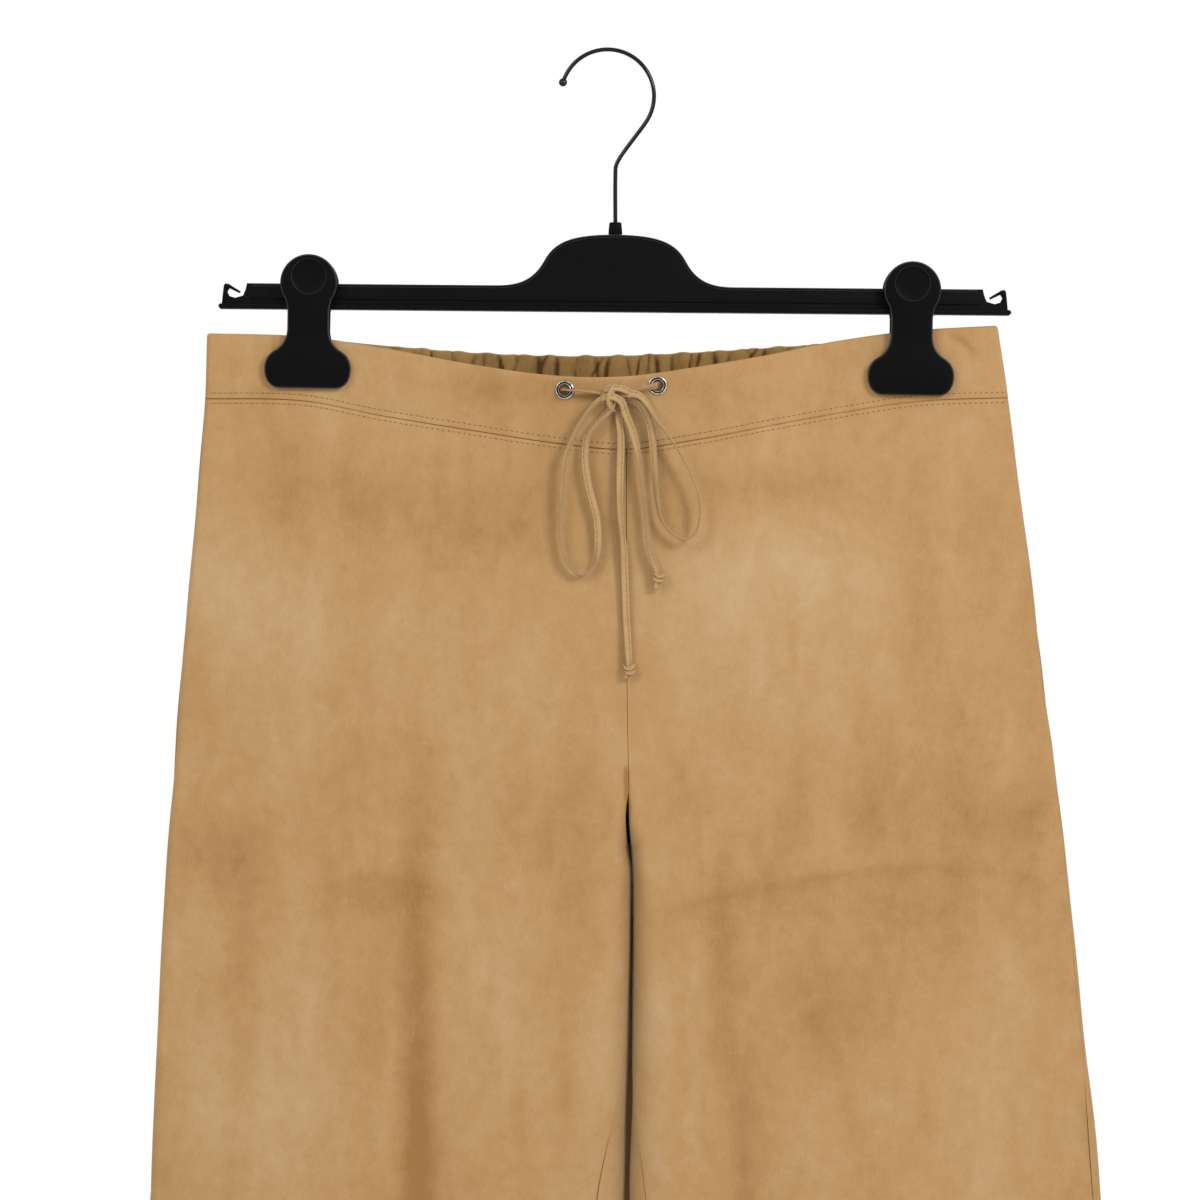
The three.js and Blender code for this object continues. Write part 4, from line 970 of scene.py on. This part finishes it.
def stitching_tree():
    """Geometry nodes that lay one stitch shape at an even pitch along a line, lying on the cloth."""
    tree = bpy.data.node_groups.new("stitch_row", "GeometryNodeTree")
    sockets = (("Line", "Geometry"), ("Stitch", "Object"), ("Pitch", "Float"), ("Unevenness", "Float"),
               ("Finish", "Material"))
    for name, kind in sockets:
        tree.interface.new_socket(name, in_out="INPUT", socket_type=f"NodeSocket{kind}")
    tree.interface.new_socket("Stitches", in_out="OUTPUT", socket_type="NodeSocketGeometry")

    def node(kind, sockets, **settings):
        return add_node(tree, kind, settings, sockets).outputs

    given = node("NodeGroupInput", {})
    line = node("GeometryNodeMeshToCurve", {0: given["Line"]})
    even = node("GeometryNodeResampleCurve", {"Curve": line[0], "Length": given["Pitch"]}, mode="LENGTH")
    shape = node("GeometryNodeObjectInfo", {"Object": given["Stitch"]})
    tangent = node("GeometryNodeInputTangent", {})
    out = node("GeometryNodeInputNamedAttribute", {"Name": "out"}, data_type="FLOAT_VECTOR")
    turn = node("FunctionNodeAxesToRotation", {0: tangent[0], 1: out["Attribute"]}, primary_axis="X",
                secondary_axis="Z")
    least = node("ShaderNodeMath", {0: 1.0, 1: given["Unevenness"]}, operation="SUBTRACT")
    most = node("ShaderNodeMath", {0: 1.0, 1: given["Unevenness"]}, operation="ADD")
    size = node("FunctionNodeRandomValue", {"Min_001": least[0], "Max_001": most[0], "Seed": 7},
                data_type="FLOAT")
    laid = node("GeometryNodeInstanceOnPoints", {"Points": even[0], "Instance": shape["Geometry"],
                                                 "Rotation": turn[0], "Scale": size[1]})
    real = node("GeometryNodeRealizeInstances", {0: laid[0]})
    painted = node("GeometryNodeSetMaterial", {"Geometry": real[0], "Material": given["Finish"]})
    node("NodeGroupOutput", {0: painted[0]})
    return tree


STITCHING = stitching_tree()


def stitch_row(name, rows, pitch, shape, finish):
    """One piece of stitches along one or more lines of points with their ways out of the cloth."""
    points, outs = (np.concatenate(part) for part in zip(*rows))
    ends = np.cumsum([len(line) for line, _ in rows])
    mesh = bpy.data.meshes.new(name)
    mesh.from_pydata((points * MM).tolist(), [(k - 1, k) for k in range(1, len(points)) if k not in ends], [])
    layer = mesh.attributes.new("out", "FLOAT_VECTOR", "POINT")
    layer.data.foreach_set("vector", outs.astype(np.float32).ravel())
    piece = link(name, mesh)
    layer = piece.modifiers.new("stitches", "NODES")
    layer.node_group = STITCHING
    values = {"Stitch": shape, "Pitch": pitch * MM, "Unevenness": 0.08, "Finish": finish}
    for item in STITCHING.interface.items_tree:
        if item.name in values:
            layer[item.identifier] = values[item.name]
    bpy.context.view_layer.update()
    made = bpy.data.meshes.new_from_object(piece.evaluated_get(bpy.context.evaluated_depsgraph_get()))
    piece.modifiers.clear()
    piece.data = made
    piece.data.name = name
    return piece


def waist_rows(proud):
    """The topstitching beside the front waist seam, on the band above it and the legs below it."""
    rows = []
    for offset in ROW_OFFSETS:
        for start, end in ((-207, 7.6), (9.4, 204)):
            x = np.linspace(start, end, 130)
            rows.append(on_front(x, band_seam(FRONT, x) + offset, proud, band=offset > 0))
    return rows


def hem_rows(proud):
    """One row of stitching round each leg above its turned hem."""
    rows = []
    for side in SIDE:
        for face in FACE:
            point, _, out = dressed(side, face, np.linspace(0.02, 0.985, 150), np.float64(HEM + HEM_TURN - 3))
            rows.append((point + out * proud, out))
    return rows


def shifted(rows, pitch):
    """The same lines started half a pitch along, for what lies between the stitches."""
    moved = []
    for line, out in rows:
        first = line[:1] + unit(line[1:2] - line[:1]) * pitch / 2
        kept = np.linalg.norm(line - line[0], axis=1) > pitch
        moved.append((np.vstack([first, line[kept]]), np.vstack([out[:1], out[kept]])))
    return moved


stitch_shape = oval_mesh("stitch_pattern", 1.8, 0.4, 0.3)
hole_shape = oval_mesh("hole_pattern", 0.75, 0.6, 0.2, 6)
trims = {}
for place, rows, proud, hole_proud, pitch in (("waist", waist_rows, 0.03, 0.12, 2.8),
                                              ("hem", hem_rows, 0.06, 0.06, 3.4)):
    # The needle holes between the stitches are small dark beads of painted shade.
    holes = shifted(rows(hole_proud), pitch)
    trims[place] = [stitch_row(f"{place}_stitches", rows(proud), pitch, stitch_shape, thread),
                    stitch_row(f"{place}_needle_holes", holes, pitch, hole_shape, painted_hole_shade)]
    for piece in trims[place]:
        dress(piece, "suede")
for pattern in (stitch_shape, hole_shape):
    bpy.data.objects.remove(pattern)


def turned_ring(name, profile, place, out, turns=48, dark=()):
    """A ring turned round the way out of the cloth from a profile of radius and height.

    The faces that start at the profile's dark points take the second material.
    """
    axis = unit(np.array(out, float))
    across = unit(np.cross(axis, (0, 0, 1)))
    angle = 2 * np.pi * np.arange(turns)[:, None, None] / turns
    radius, height = np.array(profile, float).T[..., None]
    way = across * np.cos(angle) + np.cross(axis, across) * np.sin(angle)
    points = np.array(place) + way * radius + axis * height
    piece = solid(name, points.reshape(-1, 3), loft_faces(turns, len(profile), closed=True))
    for k, face in enumerate(piece.data.polygons):
        face.material_index = int(k % len(profile) in dark)
    return piece


def eyelet_profile():
    """Up the hole's wall, over a rolled lip, down into a narrow groove and over the outer rim."""
    profile = [(EYELET_HOLE, 0.0)]
    for start, end, high in ((EYELET_HOLE, 3.55, EYELET_HEIGHT), (3.9, EYELET_RIM, 0.8 * EYELET_HEIGHT)):
        middle, half = (start + end) / 2, (end - start) / 2
        for angle in np.linspace(math.pi, 0, 9):
            profile.append((middle + half * math.cos(angle), 0.3 + (high - 0.3) * math.sin(angle)))
    return profile + [(EYELET_RIM, 0.0)]


# A dark disc across each eyelet's hole, painted shade for its inside.
EYELET_HOLE_SHADE = [(0.02, 0.12), (EYELET_HOLE + 0.1, 0.12), (EYELET_HOLE + 0.1, 0.02), (0.02, 0.02)]
for word, (x, z) in EYELETS.items():
    spots, ways = on_front(np.array([x]), np.array([z]), proud=0.1, band=True)
    # The hole's wall, the lip's sides and the groove take the darker metal.
    ring = turned_ring(f"eyelet_ring_{word}", eyelet_profile(), spots[0], ways[0], dark=(0, 1, 8, 9, 10))
    dress(ring, "eyelet", nickel, groove_metal)
    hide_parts(f"eyelet_{word}")
    hole_shade_disc = turned_ring(f"eyelet_hole_{word}", EYELET_HOLE_SHADE, spots[0], ways[0], 24)
    dress(hole_shade_disc, "suede", painted_hole_shade)


def bezier(*corners):
    t = np.linspace(0, 1, 13)[1:, None]
    a, b, c, d = (np.array(p, float) for p in corners)
    return ((1 - t) ** 3 * a + 3 * (1 - t) ** 2 * t * b + 3 * (1 - t) * t**2 * c + t**3 * d).tolist()


def mirrored(points):
    return [[-x, z] for x, z in reversed(points)]


def inset(points, distance):
    """An outline drawn in by a distance along the bisector at each point."""
    before, after = unit(points - np.roll(points, 1, axis=0)), unit(np.roll(points, -1, axis=0) - points)
    normal = np.stack([-(before + after)[:, 1], (before + after)[:, 0]], axis=1)
    normal /= np.maximum(np.linalg.norm(normal, axis=1)[:, None], 1e-6)
    slant = np.maximum(np.abs(normal[:, 0] * -before[:, 1] + normal[:, 1] * before[:, 0]), 0.5)
    return points + normal * (distance / slant)[:, None]


def moulded(name, points, front_y, back_y, soft, dish=None, highlit_edge=False):
    """A moulded slab with rounded edges, between two y values, and a round sunk dish on its front.

    The faces of a rounded front edge, when asked for, and of the dish's brink take the second material, a
    painted highlight.
    """
    area = sum(a[0] * b[1] - b[0] * a[1] for a, b in zip(points, points[1:] + points[:1]))
    points = np.array(points if area > 0 else points[::-1], float)
    way = 1 if back_y > front_y else -1
    work = bmesh.new()

    def ring(places, y):
        return [work.verts.new((x * MM, y * MM, z * MM)) for x, z in places]

    def around(corners):
        return list(zip(corners, corners[1:] + corners[:1]))

    def walls(rings, lighter):
        for k, (near, far) in enumerate(zip(rings, rings[1:])):
            for (a, b), (d, c) in zip(around(near), around(far)):
                work.faces.new((a, b, c, d)).material_index = int(k < lighter)
        work.faces.new(rings[-1])

    steps = [(inset(points, soft * (1 - math.sin(a))), way * soft * (1 - math.cos(a)))
             for a in np.linspace(0, math.pi / 2, 4)]
    rings = [ring(places, front_y + down) for places, down in steps]
    rings += [ring(places, back_y - down) for places, down in reversed(steps)]
    # The first bands of the front edge take the painted highlight when asked for.
    walls(rings, 3 if highlit_edge else 0)
    if dish:
        (cx, cz), radius, deep = dish
        turn = np.linspace(0, 2 * math.pi, 49)[:-1]
        circle = np.stack([np.cos(turn), np.sin(turn)], axis=1) * radius
        circles = [ring(circle * r + (cx, cz), front_y + way * deep * d) for r, d in DISH_STEPS]
        walls(circles, 1)
        brinks = [work.edges.get(pair) for corners in (rings[0], circles[0]) for pair in around(corners)]
        bmesh.ops.triangle_fill(work, use_beauty=True, edges=brinks)
    else:
        work.faces.new(rings[0])
    return made_of(name, work, 35)


def hanger_place(x, z, tilt):
    return Matrix.Translation((x * MM, 0, z * MM)) @ Matrix.Rotation(math.radians(tilt), 4, "Y")


def joined(name, pieces):
    """Several closed forms as one piece."""
    work = bmesh.new()
    for piece in pieces:
        work.from_mesh(piece.data)
        bpy.data.objects.remove(piece)
    return made_of(name, work, 35)


# The top edge of the bar's raised middle, from its centre to the right arm
HUMP = ([[0, 0], [3.5, 0]] + bezier((3.5, 0), (24, -0.5), (32, -4.5), (37, -14))
        + bezier((37, -14), (42.5, -24), (50, BAR_TOP), (62, BAR_TOP)))

# Along the arm and round the small hook cut into its end
ARM = [[110, BAR_TOP], [191.2, BAR_TOP], [191.9, -29.9], [193.2, -33.2], [197.3, -34.4], [200.4, -33.5],
       [201.5, -31.2], [200.4, -29.4], [195.2, -31.9], [194.6, -31], [200.8, -27.2], [202.6, -27],
       [203.3, -28.2], [204.3, -38], [204.3, BAR_BOTTOM + 0.4]]


def strip_outline(top, bottom, half, cut=0.8):
    """A long oblong with its corners cut."""
    right = [[half - cut, bottom], [half, bottom + cut], [half, top - cut], [half - cut, top]]
    left = mirrored(right)
    return left[-1:] + right + left[:-1]


def hump_line(inner):
    """The raised middle's top edge, drawn in by a distance, for the rim that runs along it."""
    right = HUMP + [[120, BAR_TOP], [188, BAR_TOP]]
    whole = np.array(mirrored(right) + right[1:], float)
    ahead = unit(np.gradient(whole, axis=0))
    return (whole + np.stack([ahead[:, 1], -ahead[:, 0]], axis=1) * inner).tolist()


BAR_FORMS = (
    ("web", HUMP + ARM + mirrored(HUMP[1:] + ARM), BAR_DEEP / 2 - 0.6, 0.35),
    ("rim", hump_line(0.15) + hump_line(1.7)[::-1], BAR_DEEP / 2, 0.4),
    ("lip", strip_outline(BAR_BOTTOM + LIP_HIGH, BAR_BOTTOM, BAR_HALF), LIP_DEEP / 2, 0.6),
    ("rib", strip_outline(BAR_BOTTOM + 6.6, BAR_BOTTOM + 5.2, 189, 0.3), BAR_DEEP / 2 - 0.05, 0.3),
)
forms = [moulded(word, points, -half, half, soft, highlit_edge=word == "rim")
         for word, points, half, soft in BAR_FORMS]
hanger = joined("hanger_bar_moulding", forms)
hanger.data.transform(hanger_place(*BAR_PLACE, BAR_TILT))
dress(hanger, "hanger_plastic", plastic, edge_highlight_plastic)
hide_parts("hanger_bar")


def jaw_outline():
    angles = np.radians(np.linspace(-36, 216, 44))
    head = [[CLIP_HEAD * math.cos(a), CLIP_HEAD * math.sin(a)] for a in angles]
    right = [[0, CLIP_BOTTOM], [14.2, CLIP_BOTTOM]]
    right += bezier((14.2, CLIP_BOTTOM), (19.5, CLIP_BOTTOM), (CLIP_FOOT, -50.5), (CLIP_FOOT, -44.5))
    right += bezier((CLIP_FOOT, -44.5), (CLIP_FOOT, -41), (20.8, -37.5), (17.5, -35.5))
    right += bezier((17.5, -35.5), (14, -33.6), (CLIP_NECK, -30), (CLIP_NECK, -23.5))
    right += [[CLIP_NECK, -14.4]]
    return right + head + mirrored(right[1:])


def round_wire(name, points, radius, step, sides=10):
    """A round wire along a route, its ends closed and slightly rounded."""
    line = curve_through(points, step)[:, :3]
    ahead = unit(np.gradient(line, axis=0))
    side = np.cross(ahead[0], (0.3, 1.0, 0.2))
    angle = 2 * np.pi * np.arange(sides)[:, None] / sides
    sizes = np.full(len(line), radius)
    sizes[[0, -1]] *= 0.7
    rings = []
    for p, t, r in zip(line, ahead, sizes):
        side = unit(side - t * np.dot(side, t))
        rings.append(p + (side * np.cos(angle) + np.cross(t, side) * np.sin(angle)) * r)
    return solid(name, np.concatenate(rings), loft_faces(len(rings), sides))


def spring_route(wire, turns=8):
    """Turns of wire round an oval, with a straight leg at each end."""
    wide, deep, high = SPRING_WIDE / 2 - wire, SPRING_DEEP / 2 - wire, SPRING_HIGH / 2 - wire
    share = np.arange(turns * 14 + 1)[:, None] / (turns * 14)
    angle = 2 * math.pi * turns * share + math.pi / 2
    coil = np.concatenate([wide * (2 * share - 1), deep * np.cos(angle), high * np.sin(angle)], axis=1)
    return [(-wide, -deep * 0.9, 7.5), *coil.tolist(), (wide, deep * 0.9, 7.5)]


for word, (x, z) in CLIPS.items():
    clip_place = hanger_place(x, z, CLIP_TILT)
    for face, place in FACE.items():
        lifted = [[px, pz - CLIP_BOTTOM] for px, pz in jaw_outline()]
        jaw = moulded(f"clip_{place}_jaw_{word}", lifted, face * CLIP_THICK, 0.0, 0.7,
                      dish=((0, 3.4 - CLIP_BOTTOM), 9.2, 1.0), highlit_edge=True)
        lean = Matrix.Rotation(math.radians(-face * CLIP_LEAN), 4, "X")
        moved = Matrix.Translation((0, face * CLIP_HOLD * MM, CLIP_BOTTOM * MM))
        jaw.data.transform(clip_place @ moved @ lean)
        dress(jaw, "hanger_plastic", plastic, edge_highlight_plastic)
        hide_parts(f"clip_{word}_{place}_jaw")
    spring = round_wire(f"spring_wire_{word}", spring_route(0.55), 0.55, 0.8)
    spring.data.transform(clip_place @ Matrix.Translation((0, 0, (SPRING_LEVEL - z) * MM)))
    dress(spring, "hook_wire", steel)
    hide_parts(f"clip_{word}_spring")

arc = [(HOOK["x"] + HOOK["radius"] * math.cos(a), 0, HOOK["z"] + HOOK["radius"] * math.sin(a))
       for a in np.radians(np.linspace(HOOK["tip"], HOOK["end"], 25))]
neck = [(5.2, 0, -55), (3.1, 0, -59.4), (HOOK["stem"], 0, -64), (HOOK["stem"], 0, -93.9)]
wire = round_wire("hook_wire_form", arc + neck, WIRE_RADIUS, 1.6, 16)
round_tip = [(HOOK["ball"] * math.sin(a), -HOOK["ball"] * math.cos(a))
             for a in np.linspace(0.01, math.pi - 0.01, 13)]
hook = joined("hook_with_ball", [wire, turned_ring("hook_ball", round_tip, arc[0], (0, -1, 0.001), 24)])
ferrule_profile = [(1.0, -94.9), (3.5, -94.9), (3.7, -94.6), (3.2, -89.3), (3.05, -88.9), (2.8, -88.7),
                   (1.0, -88.7)]
ferrule = turned_ring("hook_ferrule", ferrule_profile, (HOOK["stem"], 0, 0), (0.0001, 0, 1), 32)
dress(hook, "hook_wire", gunmetal)
dress(ferrule, "hanger_plastic", plastic)
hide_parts("hanger_hook")


def studio():
    """A plain pale floor below the hems, a white world and soft lights, the key from the upper right."""
    floor = bpy.data.meshes.new("studio_floor")
    level = (HEM - 90) * MM
    floor.from_pydata([(-4, -4, level), (4, -4, level), (4, 4, level), (-4, 4, level)], [], [(0, 1, 2, 3)])
    ground = link("studio_floor", floor)
    finish = Finish("pale_floor", Specular_IOR_Level=0.2)
    tone = finish.mix(finish.noise(3, 2), colour(236, 235, 233), colour(230, 229, 227))
    ground.data.materials.append(finish.done(tone, 0.8 + finish.noise(20, 2) * 0.1))
    scene = bpy.context.scene
    scene.world = bpy.data.worlds.new("white_world")
    scene.world.use_nodes = True
    background = scene.world.node_tree.nodes["Background"].inputs
    background["Color"].default_value = (1, 1, 1, 1)
    background["Strength"].default_value = 1.0
    lights = (("key_light", (1.35, -1.7, 0.75), (0, 0, -0.4), 0.6, 30),
              ("fill_light", (-1.3, -1.9, 0.9), (0, 0, -0.5), 0.8, 17))
    for name, place, aim, size, power in lights:
        data = bpy.data.lights.new(name, "AREA")
        data.shape = "SQUARE"
        data.size = size
        data.energy = power
        lamp = link(name, data)
        lamp.location = place
        lamp.rotation_euler = (Vector(aim) - Vector(place)).to_track_quat("-Z", "Y").to_euler()
    scene.view_settings.view_transform = "Standard"
    scene.view_settings.look = "None"
    scene.view_settings.exposure = 0
    scene.view_settings.gamma = 1


studio()
